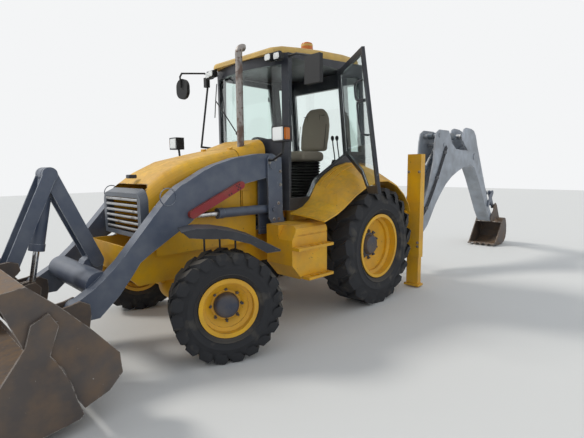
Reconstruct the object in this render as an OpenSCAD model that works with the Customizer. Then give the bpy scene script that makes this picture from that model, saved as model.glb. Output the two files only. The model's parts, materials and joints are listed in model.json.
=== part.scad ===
// Backhoe loader with a side-shifting backhoe, parked with its front wheels steered.
// Millimetres. The machine faces -X, its left side is -Y and the ground is z = 0.
// Inside the modules x = 0 is the rear axle and y = 0 the middle of the machine;
// placed() then moves everything so that the origin lies under the middle of the whole outline.

/* [Wheels] */
// Distance between the axles
wheelbase = 2190; // [2100:10:2300]
// Diameter of a rear tyre over its lugs
rear_tyre_d = 1430; // [1380:10:1460]
// Width of a rear tyre
rear_tyre_w = 430; // [400:5:450]
// Distance between the middles of the rear tyres
rear_track = 1824; // [1800:4:1860]
// Diameter of a rear rim over its flanges
rear_rim_d = 786; // [760:2:820]
// Diameter of a front tyre over its lugs
front_tyre_d = 970; // [930:10:1000]
// Width of a front tyre
front_tyre_w = 316; // [290:2:330]
// Diameter of a front rim over its flanges
front_rim_d = 522; // [500:2:560]
// Distance between the two kingpins
kingpin_span = 1680; // [1660:10:1720]
// From the kingpin to the middle of the front tyre
kingpin_offset = 140; // [130:2:150]
// Angle at which the front wheels are parked, to the machine's right
parked_steer = 23.5; // [0:0.5:30]

/* [Frame] */
// Distance between the outer faces of the two frame rails
frame_w = 760; // [720:10:800]
// Thickness of the frame plates
frame_plate = 20; // [15:1:30]
// Height of the top of the frame
frame_top = 1010; // [990:5:1040]
// Height of the lowest edge of the frame
frame_bottom = 640; // [620:5:700]
// Distance of the frame's front plate ahead of the rear axle
frame_front = 2880; // [2840:10:2920]

/* [Loader] */
// Distance between the outer faces of the two loader arms
arms_w = 1190; // [1180:2:1210]
// Width of one loader arm
arm_t = 116; // [110:2:120]
// Width of the loader bucket
bucket_w = 2350; // [2200:10:2400]
// Thickness of the loader bucket's side plates
bucket_side = 22; // [16:1:30]
// Thickness of the loader bucket's shells
bucket_shell = 16; // [12:1:25]
// Outer diameter of the tube that joins the loader arms
cross_tube_d = 219; // [200:1:240]
// Outer diameter of a loader lift cylinder
lift_tube_d = 96; // [80:2:104]
// Diameter of a loader lift rod
lift_rod_d = 55; // [40:1:60]

/* [Hood] */
// Half of the width of the hood at its rear
hood_half = 425; // [410:1:440]
// Height of the hood at its rear
hood_rear_z = 1995; // [1960:5:2020]
// Height of the hood at its nose
hood_nose_z = 1468; // [1440:2:1500]
// Thickness of the hood
hood_skin = 14; // [8:1:25]

/* [Cab] */
// Half of the width of the cab
cab_half = 640; // [620:5:650]
// Height of the cab's floor
cab_floor_z = 1270; // [1250:5:1290]
// Height of the underside of the roof
cab_top_z = 2885; // [2870:5:2900]
// Thickness of the cab's posts and walls
cab_wall = 62; // [50:1:80]
// Thickness of the cab's glass
glass_t = 8; // [5:1:12]
// Angle by which the left door stands open
door_open = 55; // [30:1:60]

/* [Backhoe] */
// Distance of the kingpost behind the rear axle
kingpost_x = 1400; // [1380:5:1440]
// Room between the parked backhoe's carriage and the left stabiliser
shift_margin = 70; // [60:10:220]
// Width of the boom
boom_w = 300; // [280:5:320]
// Thickness of the boom's plates where they stand free
boom_plate = 20; // [16:1:28]
// Width of the dipper
dipper_w = 250; // [230:5:260]
// Width of the backhoe bucket
hoe_bucket_w = 560; // [500:10:620]
// Outer diameter of the backhoe's cylinders
hoe_tube_d = 110; // [100:2:116]
// Diameter of the backhoe's rods
hoe_rod_d = 60; // [50:1:64]

/* [Rear frame] */
// Distance of the rear frame's front face behind the rear axle
rear_frame_x = 800; // [780:5:840]
// Distance between the outer faces of the two stabiliser tubes
rear_frame_w = 2300; // [2280:10:2340]
// Depth of a stabiliser tube along the machine
stab_d = 112; // [100:2:120]
// Width of a stabiliser tube across the machine
stab_w = 200; // [180:5:220]
// Height of the stabiliser tubes' tops
stab_top = 1850; // [1800:10:1900]
// Height of the stabiliser tubes' lower ends
stab_bottom = 430; // [400:5:450]
// Height of the pads above the ground as parked
pad_clear = 22; // [10:1:60]

/* [Hidden] */
$fn = 48;

yellow = "goldenrod";
charcoal = "slategray";
black = "dimgray";
steel = "silver";

// Clearances
pin_clear = 1;
plate_clear = 5;
seat_gap = 0.3;
slide_gap = 0.6;

// Wheel centres
rear_r = rear_tyre_d / 2;
front_r = front_tyre_d / 2;
kingpin_y = kingpin_span / 2;

// Loader pivots as [x, z]
arm_pivot = [-1345, 1705];
arm_tip = [-3330, 600];
lift_base = [-1328, 1240];
lift_eye = [-2372, 1243];
lever_foot = [-2990, 872];
lever_top = [-3322, 1640];
link_foot = [-3650, 900];
tilt_eye = [-3500, 705];
cross_tube = [-3130, 745];
jaw_pivot = [-3715, 767];
arm_y = (arms_w - arm_t) / 2;
lift_slot = 70;
lever_gap = 128;
lever_plate = 20;

// Backhoe pivots as [distance behind the kingpost, z]
boom_foot = [230, 600];
boom_end = [2430, 1865];
dipper_end = [3500, 600];
boom_base = [40, 950];
boom_eye = [1135, 2045];
crowd_base = [950, 2195];
crowd_eye = [2050, 2230];
guide_foot = [3290, 900];
guide_len = 300;
guide_angle = 50;
guide_top = guide_foot + guide_len * [cos(guide_angle), sin(guide_angle)];
bucket_pin = dipper_end + guide_top - guide_foot;
curl_base = [2400, 2270];

// Whole outline, used to put the origin under its middle
front_reach = 4310;
hoe_reach = 4045;
outline_right = kingpin_y + (kingpin_offset + front_tyre_w * 0.42) * cos(parked_steer) + front_r * sin(parked_steer);
door_w = 1010;
door_hinge = [-75, -cab_half - 18];
outline_left = max(-door_hinge[1] + door_w * sin(door_open), rear_frame_w / 2);
origin_x = (kingpost_x + hoe_reach - front_reach) / 2;
origin_y = (outline_right - outline_left) / 2;

// Moves the machine so that the origin lies under the middle of its outline
module placed() {
  translate([-origin_x, -origin_y, 0]) children();
}

// Copies to the machine's other side
module both_sides() {
  children();
  mirror([0, 1, 0]) children();
}

// Side outline given as [x, z] points, between two distances across the machine
module side_plate(points, y0, y1) {
  translate([0, y1, 0]) rotate([90, 0, 0]) linear_extrude(y1 - y0) polygon(points);
}

// Any flat shape drawn in x and z, between two distances across the machine
module side_shape(y0, y1) {
  translate([0, y1, 0]) rotate([90, 0, 0]) linear_extrude(y1 - y0) children();
}

// Round bar across the machine through an [x, z] point
module cross_bar(p, r, y0, y1) {
  translate([p[0], y1, p[1]]) rotate([90, 0, 0]) cylinder(r = r, h = y1 - y0);
}

// Round bar in the side plane from one [x, z] point to another
module side_bar(p, q, r, y = 0) {
  translate([p[0], y, p[1]])
    rotate([0, atan2(q[0] - p[0], q[1] - p[1]), 0]) cylinder(r = r, h = norm(q - p));
}

// Flat bar with round ends between two [x, z] points; waist narrows its middle
module round_bar(p, q, w, y0, y1, waist = 1) {
  side_shape(y0, y1) {
    translate(p) circle(d = w);
    translate(q) circle(d = w);
    translate(p) rotate(atan2(q[1] - p[1], q[0] - p[0])) translate([0, -w * waist / 2])
      square([norm(q - p), w * waist]);
  }
}

function unit(v) = v / norm(v);
function along(p, q, d) = p + unit(q - p) * d;

// Inverted U section of the hood, as [y, z] points from the left foot to the right foot
function hood_ring(half, top, foot, r) = concat(
  [[-half, foot]],
  [for (a = [180 : -15 : 90]) [-half + r + r * cos(a), top - r + r * sin(a)]],
  [for (a = [90 : -15 : 0]) [half - r + r * cos(a), top - r + r * sin(a)]],
  [[half, foot]]);

// Closed skin through rings of equally many points, each ring at its own x
module skin(xs, rings) {
  n = len(rings[0]);
  m = len(rings);
  polyhedron(
    points = [for (i = [0 : m - 1]) for (p = rings[i]) [xs[i], p[0], p[1]]],
    faces = concat(
      [[for (j = [n - 1 : -1 : 0]) j]],
      [[for (j = [0 : n - 1]) (m - 1) * n + j]],
      [for (i = [0 : m - 2]) for (j = [0 : n - 1])
        [i * n + j, i * n + (j + 1) % n, (i + 1) * n + (j + 1) % n]],
      [for (i = [0 : m - 2]) for (j = [0 : n - 1])
        [i * n + j, (i + 1) * n + (j + 1) % n, (i + 1) * n + j]]));
}

// Closed skin through rings of equally many points, each ring at its own y
module cross_skin(ys, rings) {
  n = len(rings[0]);
  m = len(rings);
  polyhedron(
    points = [for (i = [0 : m - 1]) for (p = rings[i]) [p[0], ys[i], p[1]]],
    faces = concat(
      [for (j = [0 : n / 2 - 2]) [j, j + 1, n - 2 - j]],
      [for (j = [0 : n / 2 - 2]) [j, n - 2 - j, n - 1 - j]],
      [for (j = [0 : n / 2 - 2]) [(m - 1) * n + n - 2 - j, (m - 1) * n + j + 1, (m - 1) * n + j]],
      [for (j = [0 : n / 2 - 2]) [(m - 1) * n + n - 1 - j, (m - 1) * n + n - 2 - j, (m - 1) * n + j]],
      [for (i = [0 : m - 2]) for (j = [0 : n - 1])
        [i * n + j, (i + 1) * n + (j + 1) % n, i * n + (j + 1) % n]],
      [for (i = [0 : m - 2]) for (j = [0 : n - 1])
        [i * n + j, (i + 1) * n + j, (i + 1) * n + (j + 1) % n]]));
}

// Half of the distance between the beads on a rim
function bead_half(rim_w) = rim_w / 2 - 13;

// From a wheel's middle out to the inner face of its disc
function disc_seat(rim_w, dish) = rim_w / 2 - dish - 38;

// Tyre about the Y axis: beads, bulged side walls and a crowned tread
module tyre(d, w, rim_d, rim_w, lugs, lug_h) {
  r = d / 2 - lug_h;
  bead = bead_half(rim_w);
  low = rim_d / 2 + 6;
  half = [
    [rim_d / 2 - 25, bead], [low - 4, bead], [low + (r - low) * 0.16, w * 0.46],
    [low + (r - low) * 0.5, w * 0.5], [r - w * 0.06, w * 0.43]];
  rotate([90, 0, 0]) rotate_extrude($fn = 32) polygon(concat(
    [for (p = half) [p[0], -p[1]]], [[r, 0]],
    [for (i = [len(half) - 1 : -1 : 0]) half[i]]));
  lug_w = PI * d / lugs * 0.36;
  for (s = [-1, 1], k = [0 : lugs - 1]) rotate([0, (k + (s > 0 ? 0.5 : 0)) * 360 / lugs, 0])
    translate([0, s * w * 0.215, -d / 2 + lug_h / 2 + 5]) rotate([0, 0, s * 28])
      cube([lug_w, w * 0.45, lug_h + 10], center = true);
}

// Dished rim about the Y axis, its outer side towards -Y
module rim(d, w, dish, hub_d) {
  r = d / 2;
  t = 12;
  seat = r - 26;
  drop = r - 58;
  disc = w / 2 - dish;
  rotate([90, 0, 0]) rotate_extrude($fn = 72) polygon([
    [r, -w / 2], [r, -w / 2 + t], [seat, -w / 2 + t], [seat, -w * 0.27], [drop, -w * 0.2],
    [drop, w * 0.2], [seat, w * 0.27], [seat, w / 2 - t], [r, w / 2 - t], [r, w / 2],
    [seat - t, w / 2], [seat - t, w * 0.27 + 2], [drop - t, w * 0.2 + 4],
    [drop - t, disc + t], [hub_d / 2 + 34, disc - 26], [0, disc - 26],
    [0, disc - 38], [hub_d / 2 + 38, disc - 38], [drop - t, disc - 2],
    [drop - t, -w * 0.2 - 4], [seat - t, -w * 0.27 - 2], [seat - t, -w / 2]]);
}

module rear_wheel_at(side) {
  translate([0, side * rear_track / 2, rear_r]) mirror([0, side > 0 ? 1 : 0, 0]) children();
}

// Places a front wheel, or what steers with it, on its kingpin
module steered(side) {
  translate([-wheelbase, side * kingpin_y, front_r]) rotate([0, 0, -parked_steer])
    mirror([0, side > 0 ? 1 : 0, 0]) children();
}

rear_rim_w = rear_tyre_w * 0.86;
rear_dish = 150;
front_rim_w = front_tyre_w * 0.82;
front_dish = 96;

module front_tyre() {
  color(black) translate([0, -kingpin_offset, 0]) tyre(front_tyre_d, front_tyre_w, front_rim_d, front_rim_w, 14, 20);
}

module front_rim() {
  color(yellow) translate([0, -kingpin_offset, 0]) rim(front_rim_d, front_rim_w, front_dish, 200);
}

module tyre_front_left() { steered(-1) front_tyre(); }
module tyre_front_right() { steered(1) front_tyre(); }
module rim_front_left() { steered(-1) front_rim(); }
module rim_front_right() { steered(1) front_rim(); }

module rear_tyre() {
  color(black) tyre(rear_tyre_d, rear_tyre_w, rear_rim_d, rear_rim_w, 15, 30);
}

module rear_rim() {
  color(yellow) rim(rear_rim_d, rear_rim_w, rear_dish, 300);
}

module tyre_rear_left() { rear_wheel_at(-1) rear_tyre(); }
module tyre_rear_right() { rear_wheel_at(1) rear_tyre(); }
module rim_rear_left() { rear_wheel_at(-1) rear_rim(); }
module rim_rear_right() { rear_wheel_at(1) rear_rim(); }

engine_z = 700;
gearbox_z = 740;
panel_y = hood_half + 6;
axle_plate_z = frame_bottom + 18;
cab_bottom = cab_floor_z - cab_wall;

// Frame: two rails, closed front box, cross members and the arch over the rear axle
module chassis() {
  half = frame_w / 2;
  rail = [[-frame_front + 120, frame_bottom], [-1500, frame_bottom], [-420, frame_bottom],
    [-300, frame_bottom + 190], [300, frame_bottom + 190], [420, frame_bottom],
    [rear_frame_x, frame_bottom - 60], [rear_frame_x, frame_top + 60],
    [-500, frame_top + 60], [-600, frame_top], [-frame_front, frame_top],
    [-frame_front, frame_bottom + 130]];
  color(yellow) {
    both_sides() side_plate(rail, -half, -half + frame_plate);
    translate([-frame_front, -half, frame_bottom + 130])
      cube([frame_plate, frame_w, frame_top - frame_bottom - 130]);
    for (x = [-2760, -420, 560])
      translate([x, -half + 1, frame_bottom + 20]) cube([frame_plate, frame_w - 2, 200]);
    translate([-2340, -half + 1, axle_plate_z]) cube([300, frame_w - 2, 30]);
    for (m = [[-1700, engine_z], [-900, gearbox_z]]) translate([m[0], -half + 1, m[1] - seat_gap - 30])
      cube([90, frame_w - 2, 30]);
    for (x = [-850, 150]) both_sides() translate([x, -half + 12, frame_top - 10])
      cylinder(r = 48, h = cab_bottom - seat_gap - frame_top + 10);
    for (x = [-2500, -1620]) both_sides() translate([x, -panel_y + 14 + seat_gap, 905])
      cube([60, panel_y - 14 - seat_gap - half + 1, 40]);
  }
}

// Pin ends on both sides of an eye, which the pin itself doesn't cross
module pin_stubs(p, r, y, near, far) {
  for (s = [-1, 1]) cross_bar(p, r, y + (s > 0 ? near : -far), y + (s > 0 ? far : -near));
}

// Uprights that carry the loader arms and the lift cylinders, joined over the frame
module loader_towers() {
  inner = arms_w / 2 - arm_t - plate_clear;
  outer = arms_w / 2 + plate_clear;
  t = 20;
  upright = [[-1420, 960], [-1160, 960], [-1200, 1200], [-1210, 1790], [-1370, 1810], [-1410, 1770]];
  color(charcoal) {
    both_sides() {
      side_plate(upright, -inner, -inner + t);
      side_plate([[-1400, 1150], [-1300, 1010], [-1160, 1010], [-1200, 1200], [-1210, 1790], [-1370, 1810],
        [-1410, 1770]], -outer - t, -outer);
      cross_bar(arm_pivot, 38, -outer - t - 12, -inner + t + 12);
      pin_stubs(lift_base, 26, -arm_y, 30 + seat_gap, arm_t / 2 + plate_clear + t + 10);
      translate([-1222, -outer - 1, 1010]) cube([20, outer - inner + 2, 160]);
      translate([-1420, -inner - 1, frame_top + seat_gap]) cube([270, inner - frame_w / 2 + 30, 30]);
    }
  }
}

// Engine and gearbox as plain blocks
module engine() {
  color("gray") {
    translate([-2390, -260, engine_z]) cube([870, 520, 620]);
    translate([-1520, -220, 690]) cube([360, 440, 420]);
    translate([-1161, -180, gearbox_z]) cube([560, 360, 300]);
  }
}

// Oscillating front axle beam with its trunnion, differential and kingpin yokes
module front_axle() {
  yoke = 112;
  color(charcoal) translate([-wheelbase, 0, front_r]) {
    rotate([90, 0, 0]) translate([0, 0, -kingpin_y + yoke]) cylinder(r = 75, h = 2 * (kingpin_y - yoke));
    scale(1) sphere(r = 165);
    translate([-190, -60, 40]) cube([380, 120, axle_plate_z - seat_gap - front_r - 40]);
    both_sides() {
      translate([0, -kingpin_y, 92]) cylinder(r = 62, h = 34);
      translate([0, -kingpin_y, -126]) cylinder(r = 62, h = 34);
      translate([-55, -kingpin_y, 92]) cube([110, yoke + 46, 34]);
      translate([-55, -kingpin_y, -126]) cube([110, yoke + 46, 34]);
      translate([-55, -kingpin_y + yoke, -126]) cube([110, 46, 252]);
      translate([0, -kingpin_y, -126]) cylinder(r = 22, h = 252);
    }
  }
}

// Mudguard of a front wheel, from the kingpin's middle: [along, up] of its top and of its lip's foot
guard_top = [[-372, 687], [-256, 709], [-98, 699], [65, 665], [233, 606], [464, 481]];
guard_lip = [[463, 466], [340, 459], [189, 552], [1, 607], [-181, 618], [-316, 634]];
// Its three stays: [along, z of the foot]
guard_stays = [[-142, 0], [-2, 190], [142, 0]];

// Swivelling hub carrier with the mudguard that steers with the wheel
module knuckle() {
  color(charcoal) {
    difference() {
      union() {
        translate([0, 0, -88]) cylinder(r = 66, h = 176);
        rotate([90, 0, 0]) cylinder(r = 70, h = kingpin_offset + disc_seat(front_rim_w, front_dish) - seat_gap);
        translate([-150, 20, -25]) cube([300, 20, 50]);
      }
      translate([0, 0, -100]) cylinder(r = 22 + pin_clear, h = 200);
    }
    side_plate(concat(guard_top, [for (i = [len(guard_top) - 1 : -1 : 0]) guard_top[i] - [0, 9]]),
      -kingpin_offset - front_tyre_w / 2, 6);
    side_plate(concat(guard_top, guard_lip),
      -kingpin_offset - front_tyre_w / 2, -kingpin_offset - front_tyre_w / 2 + 10);
    for (stay = guard_stays) {
      translate([stay[0], 34, stay[1]]) cylinder(r = 9, h = lookup(stay[0], guard_top) - 5 - stay[1]);
      translate([stay[0] - 18, -6, lookup(stay[0], guard_top) - 14]) cube([36, 50, 9]);
    }
    translate([guard_stays[0][0], 25, guard_stays[1][1] - 9])
      cube([guard_stays[2][0] - guard_stays[0][0], 18, 18]);
  }
}

module knuckle_left() { steered(-1) knuckle(); }
module knuckle_right() { steered(1) knuckle(); }

// Rear axle housing with the differential
module rear_axle() {
  hub = rear_track / 2 + disc_seat(rear_rim_w, rear_dish) - seat_gap;
  color(charcoal) translate([0, 0, rear_r]) {
    rotate([90, 0, 0]) translate([0, 0, -hub]) cylinder(r = 95, h = 2 * hub);
    sphere(r = 190);
    both_sides() {
      translate([0, -frame_w / 2 - 40, 0]) rotate([90, 0, 0]) cylinder(r = 140, h = 80);
      translate([-80, -frame_w / 2 - 20, 40]) cube([160, 80, frame_bottom + 190 - seat_gap - rear_r - 40]);
    }
  }
}

// Fixed yellow panels: engine sides, rear cowl and the panels below the cab's front
module bodywork() {
  side_y = panel_y;
  color(yellow) {
    both_sides() side_plate([[-2600, frame_top - 120], [-1430, frame_top - 120], [-1430, 1250],
      [-2600, 1250]], -side_y, -side_y + 14);
    translate([-1600, -side_y + 1, 1330]) cube([20, 2 * side_y - 2, 100]);
    for (s = [-1, 1]) translate([-1600, s * (side_y - 8) - 7, 1200]) cube([100, 14, 240]);
    hood_knuckles(1, hood_hinge[0] + 4, hood_hinge[0] + 34);
    difference() {
      hood_body(cowl_rows, 1255, hood_skin);
      translate([exhaust_at[0], exhaust_at[1], 1500]) cylinder(r = exhaust_r + 0.4, h = 1000);
    }
  }
}

// Stations of the hood and cowl: [x, half width, top, corner radius]
hood_rows = [
  [-2640, 400, 1508, 110],
  [-2450, 404, 1640, 120],
  [-2200, 409, 1755, 125],
  [-1900, 414, 1822, 130],
  [-1625, 419, 1878, 130]
];
cowl_rows = [[-1613, 419, 1881, 130], [-1270, 425, 1995, 130]];

hood_hinge = [-1619, 1892];
hinge_r = 10;

// Half of a hinge: knuckles beside each other along the hinge's axis
module hood_knuckles(side, x0, x1) {
  for (y = [-250, 250]) {
    cross_bar(hood_hinge, hinge_r, y + (side > 0 ? seat_gap / 2 : -40), y + (side > 0 ? 40 : -seat_gap / 2));
    translate([x0, y + (side > 0 ? seat_gap / 2 : -40), hood_hinge[1] - 26]) cube([x1 - x0, 40 - seat_gap / 2, 24]);
  }
}

module hood_body(rows, foot, t) {
  difference() {
    skin([for (r = rows) r[0]], [for (r = rows) hood_ring(r[1], r[2], foot, r[3])]);
    skin([for (i = [0 : len(rows) - 1]) rows[i][0] + (i == 0 ? -30 : i == len(rows) - 1 ? 30 : 0)],
      [for (r = rows) hood_ring(r[1] - t, r[2] - t, foot - 50, r[3] - t)]);
  }
}

module hood() {
  color(yellow) {
    hood_body(hood_rows, 1255, hood_skin);
    hood_knuckles(-1, hood_hinge[0] - 34, hood_hinge[0] - 4);
  }
}

// Moulded nose with the grille's slats
module nose() {
  color(black) {
    difference() {
      skin([-2716, -2640 - seat_gap], [hood_ring(396, 1462, 1060, 90), hood_ring(398, 1500, 1060, 105)]);
      translate([-2760, -340, 1100]) cube([200, 680, 320]);
    }
    for (k = [0 : 5]) translate([-2710, -345, 1120 + 54 * k]) cube([50, 690, 20]);
  }
}

exhaust_at = [-1500, -290];
exhaust_r = 38;
exhaust_bend = 70;

module exhaust() {
  color(steel) translate([exhaust_at[0], exhaust_at[1], 0]) {
    translate([0, 0, 1640]) cylinder(r = exhaust_r, h = 1240);
    translate([exhaust_bend, 0, 2880]) rotate([90, 0, 0]) rotate([0, 0, 90])
      rotate_extrude(angle = 90) translate([exhaust_bend, 0]) circle(r = exhaust_r);
  }
}

// Cab: side outline, arched front and rounded plan, shared by the frame and the glass
windscreen_arc_r = 1680;
cab_front_x = -1240;

// Distance along the machine of the cab's front at a given distance from the middle
function arc_x(y) = cab_front_x + windscreen_arc_r - sqrt(pow(windscreen_arc_r, 2) - pow(y, 2));

module cab_plan(inset, z0, z1) {
  translate([0, 0, z0]) linear_extrude(z1 - z0) intersection() {
    translate([cab_front_x + windscreen_arc_r, 0]) circle(r = windscreen_arc_r - inset, $fn = 180);
    translate([-1400 , -cab_half + inset]) square([1735 - inset, 2 * (cab_half - inset)]);
  }
}

// How much higher the cab's top is behind than in front
cab_top_rise = 95;

module cab_body(inset) {
  intersection() {
    cab_plan(inset, cab_bottom, cab_top_z + cab_top_rise);
    side_plate([[-1400, cab_bottom + inset], [-1400, 1950], [-1290 + inset, cab_top_z - inset],
      [240 - inset, cab_top_z + cab_top_rise - inset], [335 - inset, 1800], [335 - inset, cab_bottom + inset]],
      -cab_half - 10, cab_half + 10);
  }
}

// Door outline as [x, z], closed, cut back where the fender stands
door_outline = [[-1080, 1350], [-1050, 2850], [-214, 2850], [-85, 1850], [-640, 1560], [-790, 1350]];

function shrunk(points, c, k) = [for (p = points) c + (p - c) * k];

module door_hole(clear) {
  side_shape(-cab_half - 100, cab_half + 100) offset(delta = clear) polygon(door_outline);
}

rear_quarter = [[20, 1880], [-85, 2790], [175, 2820], [240, 1880]];

// Hinge knuckles of a door: the frame's lie below the door's
door_hinge_z = [110, 780];

// The door hinges lean forward with the rear post: distances are along the leaning axis
door_lean = atan2(129, 1000);

module on_hinge() {
  translate([door_hinge[0], door_hinge[1], 1850]) rotate([0, -door_lean, 0]) children();
}

module door_knuckles(side) {
  on_hinge() for (z = door_hinge_z) {
    translate([0, 0, z + (side > 0 ? seat_gap : -60)]) cylinder(r = 14, h = 60);
    translate([side > 0 ? -60 : 0, 4, z + (side > 0 ? seat_gap : -60)])
      cube([side > 0 ? 50 : 60, 15, 60]);
  }
}

module cab_openings() {
  door_hole(6);
  side_plate(rear_quarter, -cab_half - 100, cab_half + 100);
  translate([-1500, -cab_half + 75, 2000]) cube([500, 2 * cab_half - 150, 780]);
  translate([100, -cab_half + 75, 1560]) cube([400, 2 * cab_half - 150, 1180]);
}

module cab_frame() {
  color(black) {
    difference() {
      cab_body(0);
      cab_body(cab_wall);
      cab_openings();
    }
    both_sides() door_knuckles(-1);
  }
}

// Stations of the roof: [x, half width, top above the cab's front edge, corner radius]
roof_rows = [
  [-1262, 470, 40, 30], [-1235, 545, 65, 50], [-1130, 605, 87, 60], [-900, 622, 115, 70],
  [-500, 626, 155, 75], [-100, 626, 181, 75], [190, 610, 181, 70], [262, 560, 155, 50]
];
function cab_top_at(x) = cab_top_z + cab_top_rise * (x + 1290) / 1530;

beacon_at = [-480, -330];

// Moulded roof with its beacon
module roof() {
  color("darkkhaki") {
    skin([for (r = roof_rows) r[0]],
      [for (r = roof_rows) hood_ring(r[1], cab_top_z + r[2], cab_top_at(r[0]) + seat_gap, r[3])]);
    translate([beacon_at[0], beacon_at[1], cab_top_z + 145]) {
      cylinder(r = 62, h = 60);
      cylinder(r = 76, h = 40);
      translate([0, 0, 50]) rotate_extrude() polygon([[0, 0], [72, 0], [72, 70], [60, 92], [30, 100], [0, 100]]);
    }
  }
}

module cab_glass() {
  color("lightblue") {
    difference() {
      intersection() {
        difference() { cab_body(20); cab_body(20 + glass_t); }
        union() {
          translate([-1500, -cab_half + 75 + seat_gap, 2000 + seat_gap])
            cube([500, 2 * (cab_half - 75 - seat_gap), 780 - 2 * seat_gap]);
          translate([100, -cab_half + 75 + seat_gap, 1560 + seat_gap])
            cube([400, 2 * (cab_half - 75 - seat_gap), 1180 - 2 * seat_gap]);
        }
      }
    }
    both_sides() side_plate(shrunk(rear_quarter, [125, 2300], 0.999), -cab_half + 20, -cab_half + 20 + glass_t);
  }
}

// One door drawn closed on the left side
module door_shape(t0, t1) {
  side_plate(door_outline, -cab_half + t0, -cab_half + t1);
}

module door_frame() {
  color(black) {
    difference() {
      door_shape(0, 34);
      side_plate(shrunk(door_outline, [-560, 2200], 0.9), -cab_half - 10, -cab_half + 50);
    }
    door_knuckles(1);
  }
}

module door_pane() {
  color("lightblue") side_plate(shrunk(door_outline, [-560, 2200], 0.8996), -cab_half + 12, -cab_half + 12 + glass_t);
}

module opened() {
  on_hinge() rotate([0, 0, door_open]) rotate([0, door_lean, 0])
    translate([-door_hinge[0], -door_hinge[1], -1850]) children();
}

module door_left() { opened() door_frame(); }
module door_left_glass() { opened() door_pane(); }
module door_right() { mirror([0, 1, 0]) door_frame(); }
module door_right_glass() { mirror([0, 1, 0]) door_pane(); }

seat_z = 1760;

module seat() {
  color("darkgray") {
    translate([-470, -250, seat_z]) cube([480, 500, 130]);
    translate([-60, -240, 1895]) rotate([0, 8, 0]) cube([120, 480, 620]);
  }
}

module seat_base() {
  color(black) translate([-400, -200, cab_floor_z + seat_gap]) cube([360, 400, seat_z - cab_floor_z - 2 * seat_gap]);
}

// Steering column with its wheel, side console and levers
module controls() {
  color(black) {
    translate([-1050, -110, cab_floor_z + seat_gap]) cube([180, 220, 560]);
    translate([-940, 0, 1820]) rotate([0, 28, 0]) {
      cylinder(r = 24, h = 160);
      translate([0, 0, 150]) rotate_extrude() translate([180, 0]) circle(r = 14, $fn = 24);
      for (a = [0, 120, 240]) rotate([0, 0, a]) translate([0, -12, 144]) cube([180, 24, 12]);
    }
  }
}

// Round bar between two points in space
module rod_between(p, q, r) {
  v = q - p;
  translate(p) rotate([0, acos(v[2] / norm(v)), atan2(v[1], v[0])]) cylinder(r = r, h = norm(v));
}

// A rod through points: each length runs a little past the bends
module bent_rod(points, r) {
  last = len(points) - 2;
  for (i = [0 : last]) {
    u = unit(points[i + 1] - points[i]);
    rod_between(points[i] - u * (i > 0 ? r / 2 : 0), points[i + 1] + u * (i < last ? r / 2 : 0), r - 0.4 * (i % 2));
  }
}

lamp_at = [-1533, -970, 2000];

// Driving lamps on brackets from the loader towers
module lamps() {
  foot = -(arms_w / 2 + plate_clear + 20) - seat_gap;
  color(black) both_sides() {
    difference() {
      translate(lamp_at + [-60, -85, -75]) cube([110, 170, 150]);
      translate(lamp_at + [-70, -73, -63]) cube([22, 146, 126]);
    }
    translate(lamp_at + [-52, 0, 0]) rotate([0, 90, 0]) cylinder(r = 56, h = 12);
    bent_rod([lamp_at + [20, 0, -70], lamp_at + [20, 20, -180], [-1390, foot - 60, 1760], [-1390, foot, 1760]], 13);
  }
}

mirror_z = cab_top_z - 20;
mirror_pole = [[-1098, cab_half + 12, mirror_z - 4], [-1112, 830, mirror_z + 17], [-1262, 830, 1960],
  [-1110, cab_half + 12, 1930]];
mirror_arm = [[-1112, 830, mirror_z + 17], [-1180, 832, mirror_z + 37], [-1500, 850, mirror_z - 7],
  [-1526, 850, mirror_z - 50], [-1520, 850, mirror_z - 175]];

// A foot that carries a rod on the side of the cab
module rod_foot(p, side) {
  translate([p[0], side * (cab_half + seat_gap), p[2]]) rotate([side > 0 ? -90 : 90, 0, 0]) cylinder(r = 19, h = 16);
}

// Mirrors: a long arm on a pole at the right, a short one below the roof at the left
module mirrors() {
  left_arm = [[-1096, -cab_half - 12, mirror_z - 3], [-1150, -800, mirror_z - 19], [-1150, -1033, mirror_z - 85]];
  color(black) {
    bent_rod(mirror_pole, 13);
    rod_foot(mirror_pole[0], 1);
    rod_foot(mirror_pole[3], 1);
    bent_rod(mirror_arm, 11);
    translate([-1176, 800, mirror_z - 135]) cube([56, 60, 120]);
    translate([-1490, 850, mirror_z - 197]) rotate([0, 90, 12]) {
      for (z = [-28, 28]) translate([z, 0, -23]) cylinder(r = 95, h = 46);
      translate([-28, -95, -23]) cube([56, 190, 46]);
    }
    bent_rod(left_arm, 11);
    rod_foot(left_arm[0], -1);
    difference() {
      translate([-1175, -1135, mirror_z - 353]) cube([50, 204, 278]);
      translate([-1133, -1125, mirror_z - 343]) cube([20, 184, 258]);
    }
  }
}

// Rear fender outlines: distance along the machine, height above the tyre's top beside the cab and at the
// outer edge
fender_rows = [
  [-1100, -250, -300], [-900, -190, -240], [-790, -112, -190], [-680, 48, -130],
  [-560, 142, -60], [-330, 260, 40], [-100, 310, 90], [100, 305, 90],
  [300, 210, 20], [480, 50, -100], [600, -130, -230], [640, -230, -330]
];
// Distance from the middle of the machine, share of the fall at it
fender_stations = [[cab_half + seat_gap, 0], [740, 0.1], [840, 0.27], [960, 0.5], [1060, 0.75], [1136, 1]];

function fender_ring(f, t) = concat(
  [for (r = fender_rows) [r[0], rear_tyre_d + r[1] + (r[2] - r[1]) * f]],
  [for (i = [len(fender_rows) - 1 : -1 : 0]) let (r = fender_rows[i])
    [r[0], rear_tyre_d + r[1] + (r[2] - r[1]) * f - t]]);

module fender() {
  last = len(fender_stations) - 1;
  cross_skin([for (i = [last : -1 : 0]) -fender_stations[i][0]],
    [for (i = [last : -1 : 0]) fender_ring(fender_stations[i][1], 16)]);
}

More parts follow.
